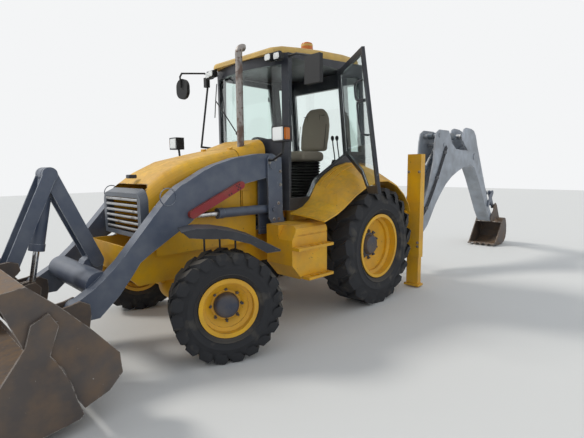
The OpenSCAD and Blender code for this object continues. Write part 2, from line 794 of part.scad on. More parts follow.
module rear_fenders() {
  color(yellow) both_sides() fender();
}

tank_in = arms_w / 2 + plate_clear + 20 + seat_gap;

// Tank boxes below the cab's doors: each leans out towards its foot and carries two steps
tank_front = [[-tank_in, 1090], [-930, 1090], [-985, 1062], [-1000, 1030], [-1000, 560], [-960, 520],
  [-tank_in, 520]];

module tanks() {
  color(yellow) both_sides() {
    difference() {
      translate([-1440, 0, 0]) rotate([90, 0, 90]) linear_extrude(540) polygon(tank_front);
      side_plate([[-1450, 500], [-1450, 700], [-1270, 500]], -1100, -600);
      side_plate([[-1450, 1100], [-1450, 930], [-1350, 1100]], -1100, -800);
      translate([-1370, -1001, 985]) cube([480, 8, 12]);
    }
    translate([-1200, -tank_in - 1, 700]) cube([250, tank_in + 1 - frame_w / 2 - seat_gap, 60]);
    for (z = [530, 850]) difference() {
      translate([-1440 + (z < 700 ? 150 : 0), -1095, z]) cube([540 - (z < 700 ? 150 : 0), 100, 30]);
      for (k = [0 : 3]) translate([-1230 + 80 * k, -1082, z - 5]) cube([46, 60, 40]);
    }
  }
}

stab_x = rear_frame_x + 84;
stab_wall = 12;

// Rear frame: two stabiliser tubes joined by the rails on which the carriage shifts
module rear_frame() {
  half = rear_frame_w / 2;
  wall = stab_wall;
  color(yellow) {
    both_sides() difference() {
      translate([stab_x, -half, stab_bottom]) cube([stab_d, stab_w, stab_top - stab_bottom]);
      translate([stab_x + wall, -half + wall, stab_bottom - 10])
        cube([stab_d - 2 * wall, stab_w - 2 * wall, stab_top - stab_bottom - wall + 10]);
    }
    for (z = rail_z) translate([rear_frame_x + 60, -half + stab_w - 1, z])
      cube([110, rear_frame_w - 2 * stab_w + 2, rail_h]);
    for (s = [-1, 1]) translate([rear_frame_x + seat_gap, s * (frame_w / 2 - 10) - 10, 560]) cube([64, 20, 500]);
  }
}

// Inner leg with its pad
module stabiliser() {
  wall = stab_wall;
  inner = stab_w - 2 * wall - 2 * slide_gap;
  depth = stab_d - 2 * wall - 2 * slide_gap;
  color(charcoal) {
    translate([stab_x + wall + slide_gap, -rear_frame_w / 2 + wall + slide_gap, pad_clear + 29])
      cube([depth, inner, 1100]);
    translate([stab_x - 10, -rear_frame_w / 2 - 10, pad_clear]) cube([stab_d + 20, stab_w + 20, 30]);
  }
}

module stabiliser_left() { stabiliser(); }
module stabiliser_right() { mirror([0, 1, 0]) stabiliser(); }

// Parked place of the digger to the left of the middle
carriage_half = 330;
hoe_shift = rear_frame_w / 2 - stab_w - carriage_half - shift_margin;

// Moves what is drawn about the kingpost's axis to its parked place
module hoe() {
  translate([kingpost_x, -hoe_shift, 0]) children();
}

// Barrel of a cylinder with its base eye and a blind bore for the rod
module barrel(base, eye, mouth, d, rod_d, y = 0, eye_w = 90) {
  difference() {
    union() {
      cross_bar(base, d / 2 + 2, y - eye_w / 2, y + eye_w / 2);
      side_bar(along(base, eye, d * 0.4), along(base, eye, mouth), d / 2, y);
      side_bar(along(base, eye, mouth - 60), along(base, eye, mouth), d / 2 + 5, y);
    }
    side_bar(along(base, eye, d / 2 + 12), along(base, eye, mouth + 20), rod_d / 2 + pin_clear, y);
  }
}

// Rod of a cylinder with its eye, reaching back into the barrel
module rod(base, eye, inner, eye_r, d, y = 0, eye_w = 90) {
  cross_bar(eye, eye_r, y - eye_w / 2, y + eye_w / 2);
  side_bar(along(base, eye, inner), along(eye, base, eye_r * 0.6), d / 2, y);
}

// Carriage that clamps on the rails and holds the kingpost
rail_z = [470, 1010];
rail_h = 130;
carriage_back = rear_frame_x + 170 + slide_gap - kingpost_x;
kingpost_r = 50;
lug_z = [[450, 60], [770, 60]];
boom_fork = boom_w / 2 - boom_plate;
foot_lug = 80;

module carriage() {
  color(charcoal) hoe() {
    translate([carriage_back, -carriage_half, 440]) cube([50, 2 * carriage_half, 740]);
    for (z = [rail_z[0] - slide_gap - 26, rail_z[1] + rail_h + slide_gap])
      translate([carriage_back - 121, -carriage_half, z]) cube([130, 2 * carriage_half, 26]);
    for (l = lug_z) difference() {
      union() {
        translate([0, 0, l[0]]) cylinder(r = 78, h = l[1]);
        translate([0, 0, l[0]]) linear_extrude(l[1])
          polygon([[carriage_back + 40, -78], [-225, -78], [-170, -36], [0, -36],
            [0, 36], [-170, 36], [-225, 78], [carriage_back + 40, 78]]);
      }
      translate([0, 0, l[0] - 10]) cylinder(r = kingpost_r + 0.5, h = l[1] + 20);
    }
    for (s = [-1, 1]) translate([carriage_back + 40, s * 120 - 12, 450]) cube([70, 24, 640]);
  }
}

// Kingpost that swings in the carriage and carries the boom's foot
module kingpost() {
  gap_low = lug_z[0][0] + lug_z[0][1];
  color(charcoal) hoe() difference() {
    union() {
      translate([0, 0, lug_z[0][0] - 12]) cylinder(r = kingpost_r, h = lug_z[1][0] + lug_z[1][1] - lug_z[0][0] + 30);
      translate([0, 0, gap_low + 4]) cylinder(r = 74, h = lug_z[1][0] - gap_low - 8);
      side_plate([[0, gap_low + 4], [210, 506], [300, 560], [310, 640], [230, 700], [0, lug_z[1][0] - 4]],
        -foot_lug + seat_gap, foot_lug - seat_gap);
      side_plate([[-56, 842], [60, 842], [98, 930], [80, 1000], [20, 1012], [-30, 970]],
        -foot_lug + seat_gap, foot_lug - seat_gap);
      translate([0, 0, 834]) cylinder(r = 78, h = 20);
    }
    cross_bar(boom_base, hoe_tube_d / 2 + 12, -45 - seat_gap, 45 + seat_gap);
    side_plate([[-20, 890], [300, 880], [300, 1200], [-120, 1200]], -62, 62);
    cross_bar(boom_foot, 33, -400, 400);
  }
}

// Boom outline as [distance behind the kingpost, z]
boom_outline = [
  [310, 520], [613, 733], [759, 914], [886, 1072], [1059, 1231], [1239, 1380], [1460, 1505],
  [1728, 1604], [1939, 1663], [2237, 1714], [2440, 1756], [2520, 1800], [2540, 1870], [2510, 1945],
  [2440, 1976], [1909, 1976], [1600, 1990], [1440, 2080], [1332, 2247], [1290, 2290], [954, 2290],
  [838, 2230], [800, 2100], [760, 1750], [640, 1420], [420, 1070], [250, 840], [135, 640],
  [150, 560], [220, 502]
];

module boom() {
  tip_clear = 262;
  color("lightgray") hoe() difference() {
    union() {
      side_plate(boom_outline, -boom_w / 2, boom_w / 2);
      cross_bar(boom_foot, 98, -boom_w / 2, boom_w / 2);
    }
    // channel in which the lift cylinder lies
    side_plate([[-200, 1100], [-200, 760], [240, 700], [520, 900], [600, 1060], [800, 1310], [1000, 1530],
      [1180, 1680], [1330, 1790], [1480, 1950], [1900, 2400], [700, 2500]], -boom_fork, boom_fork);
    difference() {
      cross_bar(boom_foot, 480, -boom_fork, boom_fork);
      cross_bar(boom_foot, 98, -boom_w, boom_w);
    }
    cross_bar(boom_foot, 110, -foot_lug, foot_lug);
    // space for the dipper's head and tail
    cross_bar(boom_end, tip_clear, -boom_fork, boom_fork);
    side_plate([[1680, 2100], [1700, 1900], [1790, 1800], [2430, 1800], [2430, 2100]], -boom_fork, boom_fork);
    cross_bar(boom_foot, 33, -300, 300);
  }
  color("lightgray") hoe() {
    for (s = [-1, 1]) cross_bar(boom_foot, 32.9, s > 0 ? foot_lug : -boom_w / 2 - 12, s > 0 ? boom_w / 2 + 12 : -foot_lug);
    pin_stubs(boom_eye, 34, 0, 45 + seat_gap, boom_w / 2 + 10);
    pin_stubs(crowd_base, 34, 0, 45 + seat_gap, boom_w / 2 + 10);
    pin_stubs(boom_end, 60, 0, dipper_w / 2 + seat_gap, boom_w / 2 + 14);
  }
}

module boom_tube() {
  color("steelblue") hoe() barrel(boom_base, boom_eye, 1020, hoe_tube_d, hoe_rod_d);
}

module boom_rod() {
  color(steel) hoe() rod(boom_base, boom_eye, 500, 50, hoe_rod_d);
}

// Dipper outline as [distance behind the kingpost, z]
dipper_outline = [
  [1930, 2150], [1945, 2290], [1990, 2360], [2080, 2390], [2300, 2380], [2430, 2350], [2530, 2260],
  [2620, 2080], [2850, 1700], [3060, 1350], [3260, 1030], [3400, 820], [3575, 620], [3560, 560],
  [3500, 525], [3430, 560], [3240, 760], [3000, 1080], [2720, 1440], [2520, 1660], [2400, 1700],
  [2300, 1740], [2270, 1860], [2200, 1960]
];

module dipper() {
  cheek = 22;
  color("lightgray") hoe() {
    difference() {
      union() {
        side_plate(dipper_outline, -dipper_w / 2, dipper_w / 2);
        cross_bar(dipper_end, 75, -dipper_w / 2, dipper_w / 2);
      }
      // tail in which the crowd and bucket cylinders are pinned
      side_plate([[1700, 2600], [1700, 2000], [2140, 1985], [2330, 2040], [2470, 2070], [2970, 1555], [3200, 1700],
        [2800, 2400], [2700, 2600]], -dipper_w / 2 + cheek, dipper_w / 2 - cheek);
    }
    pin_stubs(crowd_eye, 34, 0, 45 + seat_gap, dipper_w / 2 - 1);
    pin_stubs(curl_base, 34, 0, 45 + seat_gap, dipper_w / 2 - 1);
    pin_stubs(guide_foot, 44, 0, dipper_w / 2 - 2, dipper_w / 2 + 5);
    pin_stubs(dipper_end, 50, 0, dipper_w / 2 - 2, dipper_w / 2 + 5);
  }
}

module dipper_tube() {
  color("steelblue") hoe() barrel(crowd_base, crowd_eye, 830, hoe_tube_d, hoe_rod_d);
}

module dipper_rod() {
  color(steel) hoe() rod(crowd_base, crowd_eye, 288, 50, hoe_rod_d);
}

// Two plates that guide the bucket cylinder's eye, outside the dipper
ear_in = dipper_w / 2 + 5 + seat_gap;
ear_t = 20;
link_in = 68;
link_t = 24;

module guide_lever() {
  color(charcoal) hoe() for (s = [-1, 1]) {
    round_bar(guide_foot, guide_top, 100, s > 0 ? ear_in : -ear_in - ear_t, s > 0 ? ear_in + ear_t : -ear_in);
    cross_bar(guide_top, 38, s > 0 ? link_in + link_t + seat_gap : -ear_in - ear_t, s > 0 ? ear_in + ear_t : -link_in - link_t - seat_gap);
  }
}

// Link from the guide to the bucket: two plates joined near the bucket
module bucket_link() {
  color(charcoal) hoe() {
    for (s = [-1, 1])
      round_bar(guide_top, bucket_pin, 96, s > 0 ? link_in : -link_in - link_t, s > 0 ? link_in + link_t : -link_in);
    round_bar(along(bucket_pin, guide_top, 60), along(bucket_pin, guide_top, 110), 70, -link_in - 1, link_in + 1);
  }
}

module hoe_tube() {
  color("steelblue") hoe() barrel(curl_base, guide_top, 1150, hoe_tube_d - 10, hoe_rod_d - 4);
}

module hoe_rod() {
  color(steel) hoe() rod(curl_base, guide_top, 560, 46, hoe_rod_d - 4);
}

// Backhoe bucket: curved shell, side plates, teeth and ears
bucket_outline = [
  [3392, 44], [3560, 22], [3800, 14], [3920, 50], [4010, 130], [4044, 260], [4030, 400],
  [3990, 500], [3950, 560], [3870, 575], [3787, 548]
];

module hoe_bucket() {
  half = hoe_bucket_w / 2;
  wall = 18;
  inside = [
    [3360, 66], [3560, 40], [3795, 32], [3908, 66], [3994, 140], [4026, 262], [4012, 394],
    [3974, 492], [3940, 542], [3868, 557], [3770, 520]
  ];
  color(charcoal) hoe() {
    difference() {
      side_plate(bucket_outline, -half, half);
      side_plate(inside, -half + wall, half - wall);
    }
    for (s = [-1, 1]) {
      side_plate([[3440, 590], [3470, 540], [3560, 520], [3700, 560], [3800, 560], [3960, 545], [3900, 640],
        [3770, 850], [3700, 900], [3640, 870], [3600, 740], [3470, 660]],
        s > 0 ? ear_in : -ear_in - ear_t, s > 0 ? ear_in + ear_t : -ear_in);
      cross_bar(bucket_pin, 38, s > 0 ? link_in + link_t + seat_gap : -ear_in - 1, s > 0 ? ear_in + 1 : -link_in - link_t - seat_gap);
    }
    for (k = [-2 : 2]) translate([3310, k * (half - 40) / 2 - 25, 32]) cube([110, 50, 22]);
  }
}

// Outline of a loader arm: along its top edge from the tower to the bucket, then back below
arm_outline = [
  [-1345, 1829], [-1500, 1826], [-1813, 1778], [-2051, 1709], [-2164, 1663], [-2327, 1575],
  [-2430, 1524], [-2531, 1446], [-2631, 1344], [-2746, 1217], [-2876, 1072], [-3000, 933],
  [-3126, 820], [-3207, 756], [-3330, 685],
  [-3330, 515], [-3183, 514], [-3117, 572], [-3016, 663], [-2899, 807], [-2833, 896], [-2761, 945],
  [-2570, 1058], [-2448, 1128], [-2343, 1186], [-2234, 1268], [-2098, 1371], [-1945, 1446],
  [-1759, 1511], [-1424, 1574], [-1345, 1581]
];

lug_half = lever_gap / 2 - seat_gap;

module loader_arms() {
  inner_face = arms_w / 2 - arm_t;
  color(charcoal) {
    both_sides() {
      difference() {
        union() {
          side_plate(arm_outline, -arms_w / 2, -inner_face);
          cross_bar(arm_pivot, 124, -arms_w / 2, -inner_face);
          cross_bar(arm_tip, 85, -arms_w / 2, -inner_face);
        }
        cross_bar(arm_pivot, 38 + pin_clear, -arms_w, 0);
        cross_bar(lift_eye, 128, -arm_y - lift_slot / 2, -arm_y + lift_slot / 2);
        side_plate([[-2372, 1115], [-1900, 1100], [-1900, 1420], [-2372, 1371]],
          -arm_y - lift_slot / 2, -arm_y + lift_slot / 2);
      }
      pin_stubs(lift_eye, 26, -arm_y, 28 + seat_gap, arm_t / 2 - 1);
      pin_stubs(arm_tip, 42, -arm_y, arm_t / 2 - 1, arm_t / 2 + plate_clear);
    }
    cross_bar(cross_tube, cross_tube_d / 2, -inner_face - 1, inner_face + 1);
    side_plate([[-3160, 760], [-3040, 680], [-2950, 760], [-2925, 860], [-2960, 920], [-3020, 928], [-3090, 880]],
      -lug_half, lug_half);
  }
}

// Red strut that props the arms, carried on the left arm
module safety_strut() {
  y = -arms_w / 2 - seat_gap;
  color("firebrick") round_bar([-2330, 1265], [-1770, 1512], 74, y - 40, y);
}

module lift_tubes() {
  color("slategray") both_sides() barrel(lift_base, lift_eye, 680, lift_tube_d, lift_rod_d, -arm_y, 60);
}

module lift_rods() {
  color(steel) both_sides() rod(lift_base, lift_eye, 100, 48, lift_rod_d, -arm_y, 56);
}

module bucket_lever() {
  color(charcoal) {
    for (s = [-1, 1]) {
      y = s * (lever_gap + lever_plate) / 2;
      round_bar(lever_foot, lever_top, 116, y - lever_plate / 2, y + lever_plate / 2);
    }
    round_bar(along(lever_foot, lever_top, 190), along(lever_foot, lever_top, 330), 60, -lever_gap / 2 - 1, lever_gap / 2 + 1);
    pin_stubs(lever_top, 30, 0, 50 + seat_gap, lever_gap / 2 + 1);
  }
}

link_face = lever_gap / 2 + lever_plate + seat_gap;
link_plate = 16;

module tilt_link() {
  color(charcoal) for (s = [-1, 1]) {
    y = s * (link_face + link_plate / 2);
    round_bar(lever_top, link_foot, 116, y - link_plate / 2, y + link_plate / 2, 0.86);
  }
}

module tilt_tube() {
  color("steelblue") barrel(lever_top, tilt_eye, 640, 112, 48, 0, 100);
}

module tilt_rod() {
  color(steel) rod(lever_top, tilt_eye, 228, 40, 48, 0, 70);
}

// Loader bucket: back with its side plates; the front part is the hinged jaw
rear_side = [[-3955, 985], [-3793, 1008], [-3682, 905], [-3621, 847], [-3458, 668], [-3278, 448],
  [-3266, 302], [-3359, 209], [-3520, 150], [-3560, 222], [-3588, 334], [-3636, 463], [-3696, 561],
  [-3756, 606], [-3830, 643]];
mouldboard = [[-3955, 985], [-3793, 1008], [-3780, 900], [-3742, 826], [-3572, 650], [-3420, 480],
  [-3350, 340], [-3352, 260], [-3400, 212], [-3520, 156], [-3520, 172], [-3408, 228], [-3368, 268],
  [-3366, 338], [-3434, 492], [-3584, 661], [-3756, 838], [-3796, 904], [-3806, 990], [-3955, 968]];
jaw_gap = 6;

// Bucket ears about the middle of the machine or of one arm
module bucket_ear(points, y, half_gap, t) {
  for (s = [-1, 1]) side_plate(points, y + (s > 0 ? half_gap : -half_gap - t), y + (s > 0 ? half_gap + t : -half_gap));
}

module loader_bucket() {
  half = bucket_w / 2;
  color(charcoal) {
    side_plate(mouldboard, -half + bucket_side - 1, half - bucket_side + 1);
    both_sides() {
      side_plate(rear_side, -half, -half + bucket_side);
      cross_bar(jaw_pivot, 36, -half - jaw_gap + seat_gap, -half + 1);
    }
    for (s = [-1, 1]) bucket_ear([[-3400, 470], [-3340, 320], [-3290, 380], [-3255, 560], [-3260, 650],
      [-3330, 690], [-3400, 670], [-3560, 650]], s * arm_y, arm_t / 2 + plate_clear + seat_gap, 20);
    bucket_ear([[-3770, 870], [-3750, 820], [-3730, 810], [-3640, 838], [-3590, 890], [-3600, 950], [-3660, 970],
      [-3780, 960]], 0, link_face + link_plate + seat_gap, 20);
    bucket_ear([[-3600, 690], [-3570, 640], [-3480, 560], [-3450, 640], [-3440, 710], [-3480, 760], [-3540, 750],
      [-3620, 720]], 0, 35 + seat_gap, 22);
  }
}

// Front of the bucket: floor with the cutting edge, and its side plates on the jaw's pivots
jaw_side = [[-3755, 798], [-3678, 740], [-3690, 690], [-3700, 570], [-3642, 466], [-3592, 336],
  [-3564, 222], [-3536, 128], [-3560, 100], [-4310, 14], [-4290, 46], [-3950, 480], [-3826, 650], [-3800, 740]];

module bucket_jaw() {
  half = bucket_w / 2;
  y0 = half + jaw_gap;
  color(charcoal) {
    both_sides() difference() {
      side_plate([[-3690, 830], [-3640, 740], [-3700, 570], [-3642, 466], [-3592, 336], [-3564, 222], [-3536, 128],
        [-3560, 100], [-4310, 14], [-4290, 46], [-3950, 480], [-3826, 650], [-3790, 780]], -y0 - 16, -y0);
    }
    side_plate([[-3560, 100], [-4310, 14], [-4306, 34], [-3550, 122]], -y0 - 1, y0 + 1);
    side_plate([[-3562, 100], [-3540, 96], [-3532, 140], [-3548, 160]], -half, half);
  }
}

placed() chassis();
placed() loader_towers();
placed() engine();
placed() front_axle();
placed() rear_axle();
placed() bodywork();
placed() exhaust();
placed() cab_frame();
placed() roof();
placed() cab_glass();
placed() seat();
placed() seat_base();
placed() controls();
placed() lamps();
placed() mirrors();
placed() rear_fenders();
placed() tanks();
placed() rear_frame();
placed() hood();
placed() nose();
placed() tyre_front_left();
placed() tyre_front_right();
placed() tyre_rear_left();
placed() tyre_rear_right();
placed() rim_front_left();
placed() rim_front_right();
placed() rim_rear_left();
placed() rim_rear_right();
placed() knuckle_left();
placed() knuckle_right();
placed() door_left();
placed() door_left_glass();
placed() door_right();
placed() door_right_glass();
placed() loader_arms();
placed() safety_strut();
placed() lift_tubes();
placed() lift_rods();
placed() bucket_lever();
placed() tilt_link();
placed() tilt_tube();
placed() tilt_rod();
placed() loader_bucket();
placed() bucket_jaw();
placed() stabiliser_left();
placed() stabiliser_right();
placed() carriage();
placed() kingpost();
placed() boom();
placed() boom_tube();
placed() boom_rod();
placed() dipper();
placed() dipper_tube();
placed() dipper_rod();
placed() guide_lever();
placed() bucket_link();
placed() hoe_bucket();
placed() hoe_tube();
placed() hoe_rod();
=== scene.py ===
"""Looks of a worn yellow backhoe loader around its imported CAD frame."""
import json
import math

import bmesh
import bpy
from mathutils import Matrix, Vector


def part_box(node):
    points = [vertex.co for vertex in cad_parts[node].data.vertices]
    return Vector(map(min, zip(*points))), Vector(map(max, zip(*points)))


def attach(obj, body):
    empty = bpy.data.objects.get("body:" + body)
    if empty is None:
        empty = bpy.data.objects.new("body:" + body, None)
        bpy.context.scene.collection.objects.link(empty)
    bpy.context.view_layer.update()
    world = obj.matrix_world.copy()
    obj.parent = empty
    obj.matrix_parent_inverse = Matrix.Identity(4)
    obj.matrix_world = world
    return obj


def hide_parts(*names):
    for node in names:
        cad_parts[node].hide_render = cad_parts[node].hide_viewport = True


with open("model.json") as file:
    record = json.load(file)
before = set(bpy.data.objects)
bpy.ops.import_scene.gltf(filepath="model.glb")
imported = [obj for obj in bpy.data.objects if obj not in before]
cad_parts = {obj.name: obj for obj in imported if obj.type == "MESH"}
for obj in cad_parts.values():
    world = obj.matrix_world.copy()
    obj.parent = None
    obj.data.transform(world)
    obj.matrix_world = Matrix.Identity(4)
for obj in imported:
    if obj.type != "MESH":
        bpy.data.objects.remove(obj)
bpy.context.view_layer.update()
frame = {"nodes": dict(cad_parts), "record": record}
nodes = frame["nodes"]

# Viewpoint: a phone held at head height a few metres off the front left
# corner, with a wide lens, so the loader bucket is large and the digger small.
# Its place is measured from the rear axle's middle on the ground; the frame's
# own origin lies origin_x, origin_y metres from there.
origin_x, origin_y = 0.5675, -0.1009
eye_x, eye_y, eye_z = -4.374, -3.910, 1.666
heading, dip, roll = -45.2405, 6.8215, -0.5292
camera_data = bpy.data.cameras.new("camera")
camera_data.sensor_width = 36.0
camera_data.lens = 25.81
camera_data.clip_end = 200.0
camera = bpy.data.objects.new("camera", camera_data)
bpy.context.scene.collection.objects.link(camera)
camera.matrix_world = (Matrix.Translation((eye_x - origin_x, eye_y - origin_y, eye_z))
                       @ Matrix.Rotation(math.radians(heading), 4, "Z")
                       @ Matrix.Rotation(math.radians(90.0 - dip), 4, "X")
                       @ Matrix.Rotation(math.radians(roll), 4, "Z"))
bpy.context.scene.camera = camera


# Painted plate: welded steel with sprayed enamel, rubbed bright along its
# edges, chipped on its faces, with dry dust lying on whatever looks upwards.
def linear(code):
    """An sRGB hex colour as linear RGBA."""
    parts = [int(code[i:i + 2], 16) / 255.0 for i in (1, 3, 5)]
    return (*[c / 12.92 if c <= 0.04045 else ((c + 0.055) / 1.055) ** 2.4 for c in parts], 1.0)


def add(tree, kind, ins=None, **settings):
    """Adds one node; ins gives a socket a value, or the output that feeds it."""
    node = tree.nodes.new(kind)
    for name, value in settings.items():
        setattr(node, name, value)
    for key, value in (ins or {}).items():
        if isinstance(value, bpy.types.NodeSocket):
            tree.links.new(value, node.inputs[key])
        else:
            node.inputs[key].default_value = value
    return node


def new_material(name):
    """A material with only its shader and output: (material, tree, shader)."""
    material = bpy.data.materials.new(name)
    material.use_nodes = True
    tree = material.node_tree
    tree.nodes.clear()
    shader = add(tree, "ShaderNodeBsdfPrincipled")
    add(tree, "ShaderNodeOutputMaterial", {"Surface": shader.outputs[0]})
    return material, tree, shader


def cloud(tree, size_mm, low, high, detail=4.0, stretch=(1.0, 1.0, 1.0)):
    """A mask from 0 to 1 of patches about size_mm across, from noise between low and high."""
    place = add(tree, "ShaderNodeTexCoord").outputs["Object"]
    place = add(tree, "ShaderNodeMapping", {"Vector": place, "Scale": stretch}).outputs[0]
    noise = add(tree, "ShaderNodeTexNoise", {"Vector": place, "Scale": 1000.0 / size_mm,
                                             "Detail": detail})
    return add(tree, "ShaderNodeMapRange", {"Value": noise.outputs["Fac"], "From Min": low,
                                            "From Max": high}, clamp=True).outputs["Result"]


def upward(tree):
    """A mask of the faces that look upwards, where dust can lie."""
    normal = add(tree, "ShaderNodeNewGeometry").outputs["Normal"]
    height = add(tree, "ShaderNodeSeparateXYZ", {0: normal}).outputs[2]
    return add(tree, "ShaderNodeMapRange", {"Value": height, "From Min": 0.35, "From Max": 0.95},
               clamp=True).outputs["Result"]


def edges(tree, width_mm):
    """A mask of the outer and inner edges, width_mm wide, broken up as rubbing does."""
    rounded = add(tree, "ShaderNodeBevel", {"Radius": width_mm / 1000.0}, samples=4).outputs[0]
    flat = add(tree, "ShaderNodeNewGeometry").outputs["Normal"]
    turn = add(tree, "ShaderNodeVectorMath", {0: rounded, 1: flat},
               operation="DOT_PRODUCT").outputs["Value"]
    # The two normals' cosine: 7 degrees apart where rubbing starts, 26 where it is full.
    mask = add(tree, "ShaderNodeMapRange", {"Value": turn, "From Min": 0.992, "From Max": 0.90},
               clamp=True).outputs["Result"]
    broken = cloud(tree, 60, 0.42, 0.55)
    return add(tree, "ShaderNodeMath", {0: mask, 1: broken}, operation="MULTIPLY",
               use_clamp=True).outputs[0]


def painted(name, colour, worn, bare, gloss=0.38, edge_mm=5.0, dust=0.45, chips=0.70,
            dirt="#8d7a5c"):
    """Sprayed enamel: colour fades towards worn, and shows bare along edges and in chips."""
    material, tree, shader = new_material(name)
    faded = cloud(tree, 420, 0.35, 0.68)
    tone = add(tree, "ShaderNodeMix", {0: faded, 6: linear(colour), 7: linear(worn)},
               data_type="RGBA").outputs[2]
    splashed = cloud(tree, 150, 0.38, 0.72, 8.0)
    splashed = add(tree, "ShaderNodeMath", {0: splashed, 1: dust}, operation="MULTIPLY",
                   use_clamp=True).outputs[0]
    lying = add(tree, "ShaderNodeMath", {0: upward(tree), 1: dust}, operation="MULTIPLY",
                use_clamp=True).outputs[0]
    specks = cloud(tree, 45, 0.3, 0.6, 8.0)
    lying = add(tree, "ShaderNodeMath", {0: lying, 1: specks}, operation="MULTIPLY",
                use_clamp=True).outputs[0]
    dirty = add(tree, "ShaderNodeMath", {0: splashed, 1: lying}, operation="ADD",
                use_clamp=True).outputs[0]
    tone = add(tree, "ShaderNodeMix", {0: dirty, 6: tone, 7: linear(dirt)},
               data_type="RGBA").outputs[2]
    chipped = cloud(tree, 26, chips, chips + 0.03, 6.0)
    rubbed = add(tree, "ShaderNodeMath", {0: edges(tree, edge_mm), 1: chipped},
                 operation="MAXIMUM", use_clamp=True).outputs[0]
    tone = add(tree, "ShaderNodeMix", {0: rubbed, 6: tone, 7: linear(bare)},
               data_type="RGBA").outputs[2]
    tree.links.new(tone, shader.inputs["Base Color"])
    rough = add(tree, "ShaderNodeMapRange", {"Value": dirty, "To Min": gloss, "To Max": 0.85})
    tree.links.new(rough.outputs["Result"], shader.inputs["Roughness"])
    # Orange peel is 1 to 2 mm across on real paint, and 11 mm here so that it shows.
    peel = add(tree, "ShaderNodeTexNoise", {
        "Vector": add(tree, "ShaderNodeTexCoord").outputs["Object"], "Scale": 90.0, "Detail": 5.0})
    bump = add(tree, "ShaderNodeBump", {"Strength": 0.12, "Distance": 0.002,
                                        "Height": peel.outputs["Fac"]})
    tree.links.new(bump.outputs[0], shader.inputs["Normal"])
    shader.inputs["Specular IOR Level"].default_value = 0.45
    return material


# Machine enamel, sprayed over primer: a soft sheen that dust dulls. The
# loader's arms and the cab keep their gloss longest, and the roof has lost
# its own to the sun; the digger's grey is the most scuffed.
yellow_enamel = painted("yellow_enamel", "#f0b81c", "#dda42a", "#8a6a32", dust=0.25)
charcoal_enamel = painted("charcoal_enamel", "#465063", "#565f70", "#b4b8bc", gloss=0.32,
                          dust=0.3, chips=0.74, dirt="#868a8e")
black_enamel = painted("black_enamel", "#22252d", "#2b2f38", "#6f7278", dust=0.16, dirt="#6a6864")
hoe_enamel = painted("grey_hoe_enamel", "#a7afb9", "#8e959d", "#6d5f50", dust=0.35,
                     dirt="#6f6963")
cowl_enamel = painted("grey_cowl_enamel", "#5d646f", "#4d535d", "#8e9298", gloss=0.28,
                      dust=0.2, dirt="#8b8b88")
roof_enamel = painted("faded_roof_enamel", "#d9b25c", "#cbab68", "#8a7a55", gloss=0.6, dust=0.3)
red_enamel = painted("red_enamel", "#a8222c", "#8f262c", "#6b4a3c", dust=0.3)
blue_enamel = painted("steel_blue_enamel", "#46586b", "#566674", "#9aa0a4", dust=0.3)


# Bare steel: plate that soil has scoured, brown with rust in its hollows and
# silver where it rubs; cylinder rods are hard chrome over ground bar.
def scoured(name, steel, rust, share, rough=0.42):
    """Bare steel, finely drawn along Y, with patches of rust over about share of it."""
    material, tree, shader = new_material(name)
    scratch_wide, scratch_long = 6, 300
    lines = cloud(tree, scratch_wide, 0.3, 0.7, 3.0, (1.0, scratch_wide / scratch_long, 1.0))
    tone = add(tree, "ShaderNodeMix", {0: lines, 6: linear(steel), 7: linear("#8b8a88")},
               data_type="RGBA").outputs[2]
    patches = cloud(tree, 120, 0.62 - 0.25 * share, 0.74 - 0.25 * share, 8.0)
    spots = cloud(tree, 30, 0.66 - 0.2 * share, 0.72 - 0.2 * share, 6.0)
    stain = add(tree, "ShaderNodeMath", {0: patches, 1: spots}, operation="MAXIMUM",
                use_clamp=True).outputs[0]
    tone = add(tree, "ShaderNodeMix", {0: stain, 6: tone, 7: linear(rust)},
               data_type="RGBA").outputs[2]
    tone = add(tree, "ShaderNodeMix", {0: edges(tree, 7.0), 6: tone, 7: linear("#c9c8c5")},
               data_type="RGBA").outputs[2]
    tree.links.new(tone, shader.inputs["Base Color"])
    metal = add(tree, "ShaderNodeMapRange", {"Value": stain, "To Min": 0.85, "To Max": 0.0})
    tree.links.new(metal.outputs["Result"], shader.inputs["Metallic"])
    roughness = add(tree, "ShaderNodeMapRange", {"Value": stain, "To Min": rough, "To Max": 0.8})
    tree.links.new(roughness.outputs["Result"], shader.inputs["Roughness"])
    bump = add(tree, "ShaderNodeBump", {"Strength": 0.3, "Distance": 0.003,
                                        "Height": cloud(tree, 9, 0.3, 0.7, 6.0)})
    tree.links.new(bump.outputs[0], shader.inputs["Normal"])
    return material


# The exhaust is rolled tube that heat has browned; the buckets are plate whose
# paint is long gone, with soil dried on what the last load left bright.
exhaust_steel = scoured("exhaust_tube_steel", "#a39a94", "#6f5c52", 0.45, rough=0.5)
rusty_bucket = painted("soil_worn_bucket_steel", "#57504c", "#4a4340", "#a39d96", gloss=0.55,
                       edge_mm=9.0, dust=0.6, chips=0.72, dirt="#7d664f")

# Hard chrome: near a mirror, dimmed in patches where oil holds the dust.
rod_chrome, tree, shader = new_material("hard_chrome")
smear = cloud(tree, 40, 0.4, 0.75, 6.0)
tone = add(tree, "ShaderNodeMix", {0: smear, 6: linear("#d4d6d8"), 7: linear("#9c968c")},
           data_type="RGBA").outputs[2]
tree.links.new(tone, shader.inputs["Base Color"])
shader.inputs["Metallic"].default_value = 1.0
rough = add(tree, "ShaderNodeMapRange", {"Value": smear, "To Min": 0.12, "To Max": 0.4})
tree.links.new(rough.outputs["Result"], shader.inputs["Roughness"])


